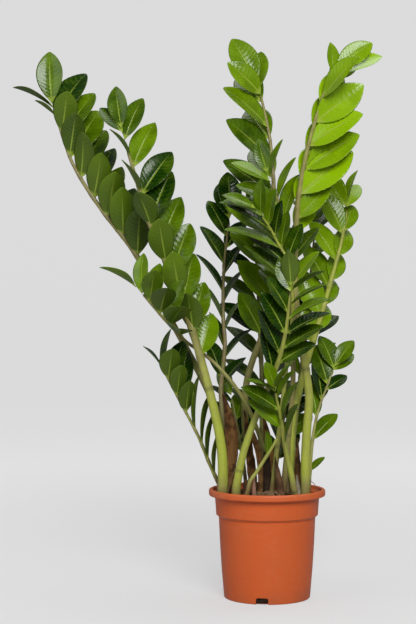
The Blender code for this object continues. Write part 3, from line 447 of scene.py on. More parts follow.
class Thicket:
    """The triangles that stand already, asked whether a new leaflet would cut through them."""

    def __init__(self):
        self.points, self.faces = [], []

    def add(self, points, faces):
        start = len(self.points)
        self.points += [tuple(p) for p in points]
        self.faces += [tuple(start + k for k in face) for face in faces]
        self.tree = BVHTree.FromPolygons(self.points, self.faces)

    def touches(self, points, faces):
        return bool(self.tree.overlap(BVHTree.FromPolygons([tuple(p) for p in points], faces)))


def unit(vectors):
    """The same directions with length 1."""
    return vectors / np.linalg.norm(vectors, axis=-1, keepdims=True)


def full_turn(sides):
    """The angles of evenly spaced points round a circle."""
    return np.arange(sides) * 2 * pi / sides


def xyz(x, y, z):
    """Points from their three coordinates, each of which may be the same for a whole row."""
    return np.stack(np.broadcast_arrays(x, y, z), axis=-1)


def cross_axes(line):
    """Unit vectors across a line at each of its points: to the right of it, and behind it."""
    tangent = unit(np.gradient(line, axis=-2))
    right = unit(np.array([1.0, 0, 0]) - tangent[..., :1] * tangent)
    return right, np.cross(tangent, right)


def tube_of(line, radii, sides=6):
    """Points and quads of an open tube round a line, for the thicket."""
    right, back = cross_axes(line)
    turn = full_turn(sides)[None, :, None]
    outward = np.cos(turn) * right[:, None] + np.sin(turn) * back[:, None]
    ring = line[:, None] + radii[:, None, None] * outward
    faces = [(i + k, i + (k + 1) % sides, i + sides + (k + 1) % sides, i + sides + k)
             for i in range(0, (len(line) - 1) * sides, sides) for k in range(sides)]
    return ring.reshape(-1, 3), faces


def stem_radii(frond, count):
    """The stem's radius at each point, from foot to tip."""
    foot, tip = frond.radius
    return tip + (foot - tip) * np.linspace(1, 0, count) ** 0.8


def settle_leaves(fronds, lines):
    """Turn each leaflet aside until it clears the rest; one that finds no room isn't grown."""
    settled, others, choices = {}, {}, elbow_room_choices()
    for frond in fronds:
        thicket = Thicket()
        for _, route, radii, *_ in HUSKS + SHOOTS:
            thicket.add(*tube_of(np.array(route), np.array(radii) + ELBOW_ROOM))
        for other in fronds:
            if other.name != frond.name:
                line = lines[other.name]
                thicket.add(*tube_of(line, stem_radii(other, len(line)) + ELBOW_ROOM))
        others[frond.name] = thicket
    for frond in fronds:
        kept = []
        for leaf in wished_leaves(frond):
            foot, tangent = place_on(lines[frond.name], leaf.share)
            for spread, side, turn in choices:
                axes = leaf_axes(tangent, leaf.spread + spread, leaf.side + side, leaf.turn + turn)
                rings, tip = leaf_stations(foot, axes, leaf.length / 1000, TEST_STATIONS, ELBOW_ROOM / 2)
                points = [p for ring in rings for p in ring] + [tip]
                faces = leaf_faces(0, len(rings)) + [(0, 1, 2, 3)]
                if not others[frond.name].touches(points, faces):
                    kept.append((foot, axes, leaf.length / 1000))
                    for thicket in others.values():
                        thicket.add(points, faces)
                    break
        settled[frond.name] = kept
    return settled


def stem_line(frond, tubers):
    """The stem's route. It goes on straight for a little under the soil, then slants in to its tuber."""
    tuber = tubers[frond.tuber]
    route = np.array(frond.route) / 1000
    away = np.array([route[0][0] - tuber.x, route[0][1] - tuber.y])
    distance = np.linalg.norm(away)
    reach = min(BURIED_SLANT * distance, TUBER_REACH * tuber.radius)
    nearest = max(reach - frond.radius[0], 0) / tuber.radius
    foot_z = tuber.z + tuber.half_height * sqrt(1 - nearest**2) + FOOT_GAP
    foot = (tuber.x + away[0] * reach / distance, tuber.y + away[1] * reach / distance, foot_z)
    start, above = route[:2]
    below = start - (above - start) / np.linalg.norm(above - start) * STRAIGHT_DEPTH
    return smooth_route([foot, below, *route], LINE_POINTS)


# ---------------------------------------------------------------- surfaces

def tube_indices(rings, sides, count=1):
    """Faces of closed tubes. Each tube is a first pole, rings of points, and a last pole; a quad joins
    neighbours on two rings and a triangle joins a ring's edge to its pole."""
    ring, side = np.meshgrid(np.arange(rings - 1), np.arange(sides), indexing="ij")
    low, turn = 1 + ring * sides + side, 1 + ring * sides + (side + 1) % sides
    quads = np.stack([low, turn, turn + sides, low + sides], axis=-1).reshape(-1, 4)
    side = np.arange(sides)
    last = 1 + (rings - 1) * sides
    first = np.stack([0 * side, 1 + (side + 1) % sides, 1 + side], axis=-1)
    final = np.stack([last + side, last + (side + 1) % sides, 0 * side + last + sides], axis=-1)
    step = (np.arange(count) * (rings * sides + 2))[:, None, None]
    triangles = np.concatenate([first, final])
    return (quads[None] + step).reshape(-1, 4), (triangles[None] + step).reshape(-1, 3)


def tube_corners(along, around):
    """The (around, along) value at each corner of one tube's faces, in the order of tube_indices."""
    rings, sides = len(along), len(around) - 1
    ring, side = np.meshgrid(np.arange(rings - 1), np.arange(sides), indexing="ij")
    pick = [(side, ring), (side + 1, ring), (side + 1, ring + 1), (side, ring + 1)]
    quads = np.stack([np.stack([around[s], along[r]], axis=-1) for s, r in pick], axis=2).reshape(-1, 4, 2)
    side = np.arange(sides)
    start, end = np.full(sides, along[0]), np.full(sides, along[-1])
    middle = (around[side] + around[side + 1]) / 2
    here, beside = around[side], around[side + 1]
    first = np.stack([np.stack([turn, start], axis=-1) for turn in (middle, beside, here)], axis=1)
    final = np.stack([np.stack([turn, end], axis=-1) for turn in (here, beside, middle)], axis=1)
    return quads, np.concatenate([first, final])


def closed_tubes(name, rings, poles, along, around, smooth_below=60):
    """A mesh of closed tubes. rings has the shape (tubes, rings, sides, 3) and poles (tubes, 2, 3); the
    UV map holds the share round the tube and the share along it."""
    count, ring_count, sides, _ = rings.shape
    points = np.concatenate([poles[:, :1], rings.reshape(count, -1, 3), poles[:, 1:]], axis=1)
    points = points.reshape(-1, 3)
    quads, triangles = tube_indices(ring_count, sides, count)
    if signed_volume(points, quads, triangles) < 0:
        quads, triangles = quads[:, ::-1], triangles[:, ::-1]
        quad_uv, triangle_uv = (corners[:, ::-1] for corners in tube_corners(along, around))
    else:
        quad_uv, triangle_uv = tube_corners(along, around)
    mesh = bpy.data.meshes.new(name)
    mesh.from_pydata(points.tolist(), [], quads.tolist() + triangles.tolist())
    corners = np.concatenate([np.tile(uv, (count, 1, 1)).ravel() for uv in (quad_uv, triangle_uv)])
    mesh.uv_layers.new(name="Surface").data.foreach_set("uv", corners.astype(np.float32))
    mesh.shade_smooth()
    mesh.set_sharp_from_angle(angle=radians(smooth_below))
    mesh.update()
    return place_in_scene(name, mesh)


def place_in_scene(name, data):
    """An object of the given mesh, light or camera, linked to the scene."""
    made = bpy.data.objects.new(name, data)
    bpy.context.collection.objects.link(made)
    return made


def signed_volume(points, quads, triangles):
    """Six times the volume inside the faces, negative where they face inwards."""
    faces = np.concatenate([quads[:, [0, 1, 2]], quads[:, [0, 2, 3]], triangles])
    a, b, c = points[faces[:, 0]], points[faces[:, 1]], points[faces[:, 2]]
    return float(np.einsum("ij,ij->", a, np.cross(b, c)))


def store(piece, name, values, domain="POINT"):
    """Store one number for each point or face, for the material to read."""
    made = piece.data.attributes.new(name, "FLOAT", domain)
    made.data.foreach_set("value", np.asarray(values, np.float32).ravel())


def per_tube(values, rings, sides):
    """Spread values of the shape (tubes, rings) over each tube's poles and ring points."""
    values = np.broadcast_to(values, (len(values), rings))
    middle = np.repeat(values[:, :, None], sides, axis=2).reshape(len(values), -1)
    return np.concatenate([values[:, :1], middle, values[:, -1:]], axis=1)


def round_tube(name, lines, radii, sides, bump=None):
    """Tubes of round cross-section: line + radius * (cos a * right + sin a * back), for the angle a from
    0 to a full turn. lines has the shape (tubes, rings, 3), radii (tubes, rings)."""
    lines, radii = np.asarray(lines, float), np.asarray(radii, float)
    right, back = cross_axes(lines)
    angle = full_turn(sides)
    out = np.cos(angle)[:, None] * right[:, :, None] + np.sin(angle)[:, None] * back[:, :, None]
    size = radii[:, :, None, None] * (1 if bump is None else 1 + bump[..., None])
    rings = lines[:, :, None] + size * out
    along = np.linspace(0, 1, lines.shape[1])
    return closed_tubes(name, rings, lines[:, [0, -1]], along, np.linspace(0, 1, sides + 1))


def waves(points, size, seed, count=5):
    """Smooth lumps: the mean of sine waves of about the given size in random directions, from -1 to 1."""
    rng = np.random.default_rng(seed)
    directions = unit(rng.normal(size=(count, 3)))
    lengths = size * rng.uniform(0.6, 1.5, count)
    phases = rng.uniform(0, 2 * pi, count)
    return np.sin((points @ directions.T) * 2 * pi / lengths + phases).mean(axis=-1)


def arc(centre, radius, start, end, count=6):
    """Points on an arc of a turned profile, from one angle in degrees to another."""
    angle = np.radians(np.linspace(start, end, count))
    return [(centre[0] + radius * cos(a), centre[1] + radius * sin(a)) for a in angle]


def turned(name, profile, steps, shift=None):
    """A profile of (radius, height) pairs, whose ends are on the axis, carried round the axis."""
    profile = np.array(profile)
    angle = full_turn(steps)
    radius, height = profile[1:-1, 0][:, None], profile[1:-1, 1][:, None]
    rings = xyz(radius * np.cos(angle), radius * np.sin(angle), height)
    if shift is not None:
        rings = shift(rings)
    poles = np.array([[(0, 0, profile[0, 1]), (0, 0, profile[-1, 1])]])
    along, around = np.linspace(0, 1, len(profile) - 2), np.linspace(0, 1, steps + 1)
    return closed_tubes(name, rings[None], poles, along, around, POT_SHARP)


def belongs(piece, slot, *nodes, material):
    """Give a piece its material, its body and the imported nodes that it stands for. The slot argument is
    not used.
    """
    piece.data.materials.clear()
    piece.data.materials.append(material)
    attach(piece, BODY)
    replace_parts(piece, *nodes)
    return piece


def subdivide(piece, levels=1):
    """Round a piece off with a Subdivision Surface modifier."""
    smooth = piece.modifiers.new("Rounding", "SUBSURF")
    smooth.levels = smooth.render_levels = levels


# ---------------------------------------------------------------- node helpers

class Value:
    """A number or colour that a shader works out. Arithmetic on it adds the nodes that do the sum."""

    def __init__(self, socket):
        self.socket = socket

    def maths(self, operation, first, second=0.0):
        return add(self.socket.id_data, "Math", {0: first, 1: second}, operation=operation)

    def __add__(self, other):
        return self.maths("ADD", self, other)

    def __sub__(self, other):
        return self.maths("SUBTRACT", self, other)

    def __mul__(self, other):
        return self.maths("MULTIPLY", self, other)

    def __pow__(self, other):
        return self.maths("POWER", self, other)

    def __abs__(self):
        return self.maths("ABSOLUTE", self)

    def __radd__(self, other):
        return self.maths("ADD", other, self)

    def __rsub__(self, other):
        return self.maths("SUBTRACT", other, self)

    def sine(self):
        return self.maths("SINE", self)

    def cosine(self):
        return self.maths("COSINE", self)

    def fit(self, low, high, to_low=0.0, to_high=1.0, pace="SMOOTHSTEP"):
        """The value moved smoothly from one range to another and kept inside it."""
        return add(self.socket.id_data, "MapRange", {0: self, 1: low, 2: high, 3: to_low, 4: to_high},
                   interpolation_type=pace)

    def linear(self, low, high, to_low=0.0, to_high=1.0):
        """The value moved from one range to another at an even pace."""
        return self.fit(low, high, to_low, to_high, "LINEAR")

    def mix(self, a, b):
        """Colour a where the value is 0 and b where it is 1."""
        a, b = (colour if isinstance(colour, Value) else (*colour, 1) for colour in (a, b))
        return add(self.socket.id_data, "Mix", {0: self, 6: a, 7: b}, output=2, data_type="RGBA")


def put(value, socket):
    """Link a worked-out value to a socket, or store a plain one in it."""
    if isinstance(value, Value):
        socket.id_data.links.new(value.socket, socket)
    else:
        socket.default_value = value


def add(tree, kind, inputs=(), output=0, **settings):
    """Add a node, set its settings, fill the listed inputs, and give back one of its outputs."""
    node = tree.nodes.new("ShaderNode" + kind)
    for key, value in settings.items():
        setattr(node, key, value)
    for key, value in dict(inputs).items():
        put(value, node.inputs[key])
    return Value(node.outputs[output])


def new_material(name, **sockets):
    """A Principled material; the named sockets hold what is the same all over the surface."""
    material = bpy.data.materials.new(name)
    material.use_nodes = True
    for key, value in sockets.items():
        shader_inputs(material)[key.replace("_", " ")].default_value = value
    return material, material.node_tree


def shader_inputs(material):
    """The sockets of a material's shader."""
    return material.node_tree.nodes["Principled BSDF"].inputs


def dress(material, colour, rough, height, distance, strength=1.0):
    """Give a material its colour and roughness, and raise its surface where the height is large."""
    bump = {"Height": height, "Distance": distance, "Strength": strength}
    put(colour, shader_inputs(material)["Base Color"])
    put(rough, shader_inputs(material)["Roughness"])
    put(add(material.node_tree, "Bump", bump, output="Normal"), shader_inputs(material)["Normal"])
    return material


def read(tree, name):
    """A number stored on the mesh."""
    return add(tree, "Attribute", output="Fac", attribute_name=name)


def own_uv(tree):
    """The shares round and along the piece."""
    across = add(tree, "SeparateXYZ", {0: add(tree, "UVMap", uv_map="Surface")})
    return across, Value(across.socket.node.outputs[1])


def group(name, inputs, output):
    """An empty node group: its tree, its float inputs (name to default) and the socket of its output."""
    made = bpy.data.node_groups.new(name, "ShaderNodeTree")
    for label, default in inputs.items():
        entry = made.interface.new_socket(label, in_out="INPUT", socket_type="NodeSocketFloat")
        entry.default_value = default
    made.interface.new_socket(output, in_out="OUTPUT", socket_type="NodeSocketFloat")
    given = [Value(socket) for socket in made.nodes.new("NodeGroupInput").outputs[:len(inputs)]]
    return made, given, made.nodes.new("NodeGroupOutput").inputs[0]


def use(tree, name, **inputs):
    """Place a node group in a material with its own values."""
    return add(tree, "Group", {key.capitalize(): value for key, value in inputs.items()},
               node_tree=bpy.data.node_groups[name])


def make_groups():
    """The effects that several materials share: mottling, fibres, scuffs and specks."""
    limits = {"Low": 0.35, "High": 0.65}
    inputs = {"Scale": 60.0, "Detail": 4.0, **limits}
    tree, (scale, detail, low, high), result = group("Mottle", inputs, "Value")
    place = add(tree, "TexCoord", output="Object")
    noise = add(tree, "TexNoise", {"Vector": place, "Scale": scale, "Detail": detail})
    put(noise.linear(low, high), result)

    inputs = {"Across": 40.0, "Along": 3.0, **limits}
    tree, (across, along, low, high), result = group("Fibres", inputs, "Value")
    turn, share = own_uv(tree)
    turn = turn * (2 * pi)
    place = add(tree, "CombineXYZ", {0: turn.cosine() * across, 1: turn.sine() * across, 2: share * along})
    noise = add(tree, "TexNoise", {"Vector": place, "Scale": 1.0, "Detail": 3.0})
    put(noise.linear(low, high), result)

    tree, (scale, amount), result = group("Scuffs", {"Scale": 30.0, "Amount": 0.5}, "Mask")
    place = add(tree, "TexCoord", output="Object")
    long_way = add(tree, "Mapping", {"Vector": place, "Scale": (1.0, 1.0, 3.0), "Rotation": (0.3, 0.5, 0)})
    lines = add(tree, "TexNoise", {"Vector": long_way, "Scale": scale, "Detail": 6.0})
    patches = add(tree, "TexNoise", {"Vector": place, "Scale": 14.0, "Detail": 3.0})
    edge = 1.0 - amount * 0.5
    put(lines.fit(edge - 0.14, edge) * patches.fit(0.42, 0.62), result)

    tree, (scale, size), result = group("Specks", {"Scale": 500.0, "Size": 0.25}, "Mask")
    place = add(tree, "TexCoord", output="Object")
    cells = add(tree, "TexVoronoi", {"Vector": place, "Scale": scale}, output="Distance")
    put(1.0 - cells.fit(0.0, size), result)


# ---------------------------------------------------------------- materials

def leaf_material(look):
    """Waxy green: dark to bright by leaflet, partly by age and partly as painted shade, a pale midrib,
    faint side veins, and an olive underside with painted shade and a painted backlight.
    """
    material, tree = new_material("zz_leaf_blade", Coat_Weight=0.12, Coat_Roughness=0.09,
                                  Specular_IOR_Level=0.27)
    across, along = own_uv(tree)
    under = read(tree, "underside")
    # The stored tone is partly the leaflet's age and partly painted shade on the back and low fronds.
    tone = read(tree, "leaf_tone")
    from_rib = abs(across - 0.5) * 2.0
    rib_width = along.linear(0.0, 1.0, 0.1, 0.025)
    rib = 1.0 - from_rib.fit(rib_width * 0.35, rib_width)
    margin = from_rib.fit(0.93, 0.99)
    mottle = use(tree, "Mottle", scale=38.0, detail=3.0, low=0.3, high=0.7)
    fine = use(tree, "Mottle", scale=420.0, detail=2.0, low=0.3, high=0.7)
    specks = use(tree, "Specks", scale=330.0, size=0.12)
    slope = along - from_rib ** 1.4 * 0.17
    slope = slope + mottle * 0.035
    comb = (slope * 74.0).sine()
    veins = comb.fit(0.5, 1.0) * mottle.fit(0.1, 0.8, 0.3, 1.0)
    tone = tone + (mottle - 0.5) * 0.22
    tone = tone + (fine - 0.5) * 0.06
    upper = tone.mix(look.leaf_dark, look.leaf_bright)
    # Painted light on the undersides: each leaflet has a random amount. Where it is small the underside
    # takes a darker olive as painted shade; where it is large a painted backlight rises towards the tip, in
    # place of light shining through the blade.
    painted_underside_light = read(tree, "leaf_warmth")
    shaded = mottle * 0.35 + painted_underside_light.fit(0.0, 0.45, 0.65, 0.0)
    lower = shaded.mix(look.leaf_under, (0.045, 0.088, 0.007))
    glow = along.fit(0.2, 1.0) * painted_underside_light.fit(0.35, 0.95)
    lower = (glow * 0.75).mix(lower, look.leaf_backlit)
    lower = tone.fit(0.4, 1.0, 0.0, 0.55).mix(lower, look.leaf_bright)
    colour = under.mix(upper, lower)
    colour = (veins * 0.1).mix(colour, look.leaf_rib)
    colour = (margin * 0.3).mix(colour, look.leaf_rib)
    rib_share = rib * along.linear(0.1, 0.95, 0.85, 0.25)
    colour = rib_share.mix(colour, look.leaf_rib)
    stalk = 1.0 - along.fit(0.06, 0.16)
    colour = stalk.mix(colour, look.leaf_rib)
    colour = (specks * 0.1).mix(colour, (0.3, 0.3, 0.16))
    rough = mottle.linear(0.0, 1.0, 0.16, 0.27)
    rough = rough + under * 0.22
    rough = rough + specks * 0.15
    height = rib * -1.0 * under.linear(0.0, 1.0, 1.0, -1.0)
    height = height + comb * under.linear(0.0, 1.0, 0.16, 0.05)
    height = height + mottle * 0.55
    height = height + fine * 0.05
    return dress(material, colour, rough, height, 0.0006, 0.8)


def stem_material(look):
    """Smooth succulent stem: yellow-green where young, tan to brown where old, with lengthwise flecks."""
    material, tree = new_material("zz_stem", Coat_Weight=0.12, Coat_Roughness=0.2)
    green = read(tree, "green")
    ring = read(tree, "ring")
    mottle = use(tree, "Mottle", scale=55.0, detail=5.0, low=0.3, high=0.7)
    flecks = use(tree, "Fibres", across=16.0, along=110.0, low=0.52, high=0.68)
    streaks = use(tree, "Fibres", across=9.0, along=9.0, low=0.3, high=0.7)
    share = green + (mottle - 0.5) * 0.3
    share = share + (streaks - 0.5) * 0.22
    middling = share.linear(0.0, 0.5).mix(look.stem_brown, (0.34, 0.33, 0.09))
    colour = share.linear(0.45, 1.0).mix(middling, look.stem_green)
    colour = (flecks * 0.35).mix(colour, (0.1, 0.13, 0.025))
    colour = (ring * 0.6).mix(colour, (0.09, 0.075, 0.03))
    height = streaks * 0.6 + flecks * -0.25
    return dress(material, colour, mottle.linear(0.0, 1.0, 0.3, 0.48), height, 0.0005, 0.7)


def pot_material(look):
    """Satin moulded plastic: faint flow marks, rubbed spots on the lip, a thin light line at the collar's
    edge that is partly wear and partly a painted highlight, and darker brown mottling towards the foot.
    """
    material, tree = new_material("terracotta_plastic_moulded", Specular_IOR_Level=0.45)
    height = add(tree, "SeparateXYZ", {0: add(tree, "TexCoord", output="Object")}, output=2)
    mottle = use(tree, "Mottle", scale=22.0, detail=5.0, low=0.3, high=0.7)
    grain = use(tree, "Mottle", scale=900.0, detail=2.0, low=0.3, high=0.7)
    scuffs = use(tree, "Scuffs", scale=60.0, amount=0.86)
    flow = use(tree, "Fibres", across=26.0, along=2.0, low=0.3, high=0.7)
    near_lip = height.fit(look.height - 0.014, look.height - 0.001)
    near_foot = 1.0 - height.fit(0.0, 0.03)
    collar_edge = abs(height - COLLAR_EDGE).fit(0.0006, 0.002, 1.0, 0.0)
    # A thin light line along the collar's edge: partly rubbed wear and partly a painted highlight.
    collar_highlight_and_wear = collar_edge * (0.25 + mottle * 0.45)
    rubbed = scuffs * near_lip.linear(0.0, 1.0, 0.12, 1.0)
    colour = (mottle * 0.1).mix(look.colour, (0.42, 0.07, 0.02))
    colour = (flow * 0.07).mix(colour, (0.62, 0.15, 0.055))
    colour = (near_lip * 0.16).mix(colour, look.worn)
    colour = (rubbed * 0.85).mix(colour, look.worn)
    colour = collar_highlight_and_wear.mix(colour, look.worn)
    # Darker, browner mottling towards the foot.
    darker_towards_foot = near_foot * mottle * 0.35
    colour = darker_towards_foot.mix(colour, (0.3, 0.12, 0.06))
    rough = mottle.linear(0.0, 1.0, 0.34, 0.46) + rubbed * 0.2
    rings = (height * 2600.0).sine()
    relief = grain * 0.35 + rings * 0.05
    relief = relief + flow * 0.5
    relief = relief + scuffs * -0.4
    return dress(material, colour, rough, relief, 0.00025, 0.6)


def soil_material():
    """Dark potting mix with lighter specks of bark and sand."""
    material, tree = new_material("potting_mix", Specular_IOR_Level=0.2)
    coarse = use(tree, "Mottle", scale=160.0, detail=6.0, low=0.35, high=0.65)
    fine = use(tree, "Mottle", scale=900.0, detail=4.0, low=0.3, high=0.7)
    specks = use(tree, "Specks", scale=420.0, size=0.22)
    colour = coarse.mix((0.012, 0.007, 0.004), (0.06, 0.034, 0.019))
    colour = (specks * 0.35).mix(colour, (0.16, 0.1, 0.06))
    return dress(material, colour, fine.linear(0.0, 1.0, 0.8, 1.0), coarse + fine * 0.4, 0.0018, 1.0)


def crumb_material():
    """Crumbs of peat and bark, each a shade of its own."""
    material, tree = new_material("soil_crumbs", Specular_IOR_Level=0.25)
    shade = read(tree, "shade")
    fine = use(tree, "Mottle", scale=700.0, detail=4.0, low=0.3, high=0.7)
    colour = shade.linear(0.0, 0.8).mix((0.016, 0.009, 0.005), (0.085, 0.045, 0.022))
    colour = shade.fit(0.86, 0.98).mix(colour, (0.27, 0.17, 0.1))
    colour = (fine * 0.5).mix(colour, (0.03, 0.018, 0.01))
    return dress(material, colour, fine.linear(0.0, 1.0, 0.72, 0.98), fine, 0.0006, 1.0)


def fibre_material(name, dark, light, pale, relief=0.0007, rough=(0.55, 0.85), along=7.0):
    """Dry plant matter with lengthwise fibres, dark blotches, and pale raised ridges that are partly the
    dry fibre's own colour and partly a painted highlight.
    """
    material, tree = new_material(name, Specular_IOR_Level=0.3)
    fibres = use(tree, "Fibres", across=22.0, along=along, low=0.3, high=0.7)
    coarse = use(tree, "Fibres", across=7.0, along=along * 0.4, low=0.3, high=0.7)
    blotches = use(tree, "Mottle", scale=48.0, detail=6.0, low=0.42, high=0.6)
    colour = fibres.mix(dark, light)
    # Pale colour on the raised coarse ridges: partly the fibre's own paler colour, partly a painted
    # highlight.
    colour = (coarse * 0.55).mix(colour, pale)
    colour = (blotches * 0.8).mix(colour, dark)
    return dress(material, colour, fibres.linear(0.0, 1.0, *rough), fibres + coarse, relief)


def tuber_material():
    """Thin tan skin with darker rings and specks, for the tubers under the soil."""
    material, tree = new_material("tuber_skin_rough")
    mottle = use(tree, "Mottle", scale=70.0, detail=6.0, low=0.35, high=0.65)
    specks = use(tree, "Specks", scale=260.0, size=0.25)
    colour = mottle.mix((0.17, 0.095, 0.04), (0.36, 0.23, 0.11))
    colour = (specks * 0.5).mix(colour, (0.07, 0.04, 0.02))
    return dress(material, colour, mottle.linear(0.0, 1.0, 0.55, 0.85), mottle, 0.0008, 1.0)


# ---------------------------------------------------------------- pieces

def blade_rings(foot, rib, across, normal, length, look, seed):
    """Leaflets as closed tubes of eight points round. At share s of the length the midrib stands at
    foot + length * (s * rib - arch * s^2 * normal), the margins at +-h(s) across it with h a bent sine,
    raised by the fold, rippled by a sine wave, and turned a little more towards the tip."""
    rng = np.random.default_rng(seed)
    count = len(length)
    share = np.array([0.0, 0.045, 0.13, 0.27, 0.44, 0.62, 0.78, 0.90, 0.975])
    around = np.array([-1.0, -0.62, 0.0, 0.62, 1.0, 0.62, 0.0, -0.62])
    aside = np.abs(around)
    below = np.array([0, 0, 0, 0, 0, 1, 1, 1])
    length = length[:, None]
    vary = rng.uniform(-1, 1, (6, count, 1))
    bloom = np.clip((share - 0.03) / 0.97, 0, 1)
    point = 1 - 0.35 * np.clip((share - 0.88) / 0.12, 0, 1)
    half = 1.13 * np.sin(pi * bloom ** (1.04 + 0.08 * vary[0])) ** 0.66 * point
    half = half * LEAF_PROPORTION * (1 + 0.07 * vary[1]) * length / 2
    half = np.maximum(half, 0.0013)
    arch = LEAF_ARCH * (1 + 0.5 * vary[2])
    twist = np.radians(9) * vary[3] * share
    bent = share[:, None] * rib[:, None] - (arch * share**2)[..., None] * normal[:, None]
    middle = foot[:, None] + length[..., None] * bent
    side = np.cos(twist)[..., None] * across[:, None] + np.sin(twist)[..., None] * normal[:, None]
    up = np.cos(twist)[..., None] * normal[:, None] - np.sin(twist)[..., None] * across[:, None]
    reach = half[..., None] * around
    fold = LEAF_FOLD * (1.45 + 0.35 * vary[4])
    ripple = look.leaf_wave * length * np.sin(2 * pi * 1.4 * share + 3 * vary[5])
    lift = np.abs(reach) * fold[..., None] * (0.65 + 0.35 * aside)
    lift = lift + ripple[..., None] * aside * around
    cushion = 0.055 * half[..., None] * (1 - aside ** 2) * (aside > 0.2)
    thick = np.maximum(look.leaf_edge, 0.0022 * (1 - share / 0.12))[None, :, None]
    thick = thick * (1 - aside ** 2) * 0.5
    rib_keel = 0.0005 * (around == 0) * below
    lift = lift + cushion + np.where(below, -thick - rib_keel, thick)
    rings = middle[:, :, None] + reach[..., None] * side[:, :, None] + lift[..., None] * up[:, :, None]
    tip = foot + length * rib - arch * length * normal
    return rings, np.stack([foot - rib * 0.0004, tip], axis=1), share


def make_leaflets(frond, leaves, look, material):
    """All leaflets of one frond, as one piece."""
    foot, axes, length = (np.array(part) for part in zip(*leaves))
    rib, across, normal = axes[:, 0], axes[:, 1], axes[:, 2]
    number = list(FROND_LOOKS).index(frond.name)
    rings, poles, share = blade_rings(foot, rib, across, normal, length, look, BLADE_SEED + number)
    name = frond.name.replace("frond_", "leaflets_")
    corner_across = 1 - np.abs(np.arange(9) / 4 - 1)
    piece = closed_tubes(name, rings, poles, share, corner_across, smooth_below=180)
    count, ring_count, sides, _ = rings.shape
    rng = np.random.default_rng(TONE_SEED + number)
    # Each leaflet's tone is its frond's tone, which is partly age and partly painted shade, with a random
    # spread.
    tone = FROND_LOOKS[frond.name].leaf_tone + rng.uniform(-0.26, 0.26, count)
    store(piece, "leaf_tone", per_tube(tone[:, None], ring_count, sides))
    # A random amount of painted light for each leaflet's underside: painted shade where it is small,
    # painted backlight where it is large.
    store(piece, "leaf_warmth", per_tube(rng.uniform(0, 1, (count, 1)), ring_count, sides))
    quad_side = np.tile(np.arange(sides) >= 4, ring_count - 1)
    cap_side = np.tile(np.arange(sides) >= 4, 2)
    store(piece, "underside", np.concatenate([np.tile(quad_side, count), np.tile(cap_side, count)]), "FACE")
    subdivide(piece)
    return belongs(piece, "zz_leaf", frond.name, material=material)


def make_stem(frond, line, leaves, material):
    """One stem: a round tube that flares at its foot, thins to the tip and swells where leaflets join."""
    rings, sides = 110, 14
    share = np.linspace(0, 1, rings)
    fine = smooth_route(line[::3], rings)
    radius = np.interp(share, np.linspace(0, 1, LINE_POINTS), stem_radii(frond, LINE_POINTS))
    total = np.linalg.norm(np.diff(fine, axis=0), axis=1).sum()
    joints = np.zeros(rings)
    for foot, _, _ in leaves:
        nearest = np.linalg.norm(fine - foot, axis=1).argmin() / (rings - 1)
        joints += np.exp(-((share - nearest) * total / 0.006) ** 2)
    scar_at = 0.34 if frond.radius[0] > 0.0085 else 0.24
    scar = np.exp(-((share - scar_at) * total / 0.0022) ** 2)
    above_soil = np.clip((fine[:, 2] - SOIL_MIDDLE) / 0.03, 0, 1)
    radius = radius * (1 + 0.14 * np.minimum(joints, 1) + 0.05 * scar + 0.10 * (1 - above_soil))
    radius[-1] *= 0.5
    angle = full_turn(sides)
    place = xyz(fine[:, None, 2], 0.02 * np.cos(angle) + fine[:, None, 0], 0.02 * np.sin(angle))
    rough = 0.02 * waves(place, 0.045, STEM_SEED)
    name = frond.name.replace("frond_", "stem_")
    piece = round_tube(name, fine[None], radius[None], sides, bump=rough[None])
    looks = FROND_LOOKS[frond.name]
    young = 1 - np.clip((share - 0.22) / 0.30, 0, 1)
    green = looks.tip_green + (looks.foot_green - looks.tip_green) * young
    green = green - 0.9 * (1 - np.clip((fine[:, 2] - SOIL_MIDDLE - 0.004) / 0.045, 0, 1)) ** 1.5
    store(piece, "green", per_tube(green[None], rings, sides))
    store(piece, "ring", per_tube(np.minimum(scar + 0.35 * joints, 1)[None], rings, sides))
    return belongs(piece, "zz_leaf", frond.name, material=material)


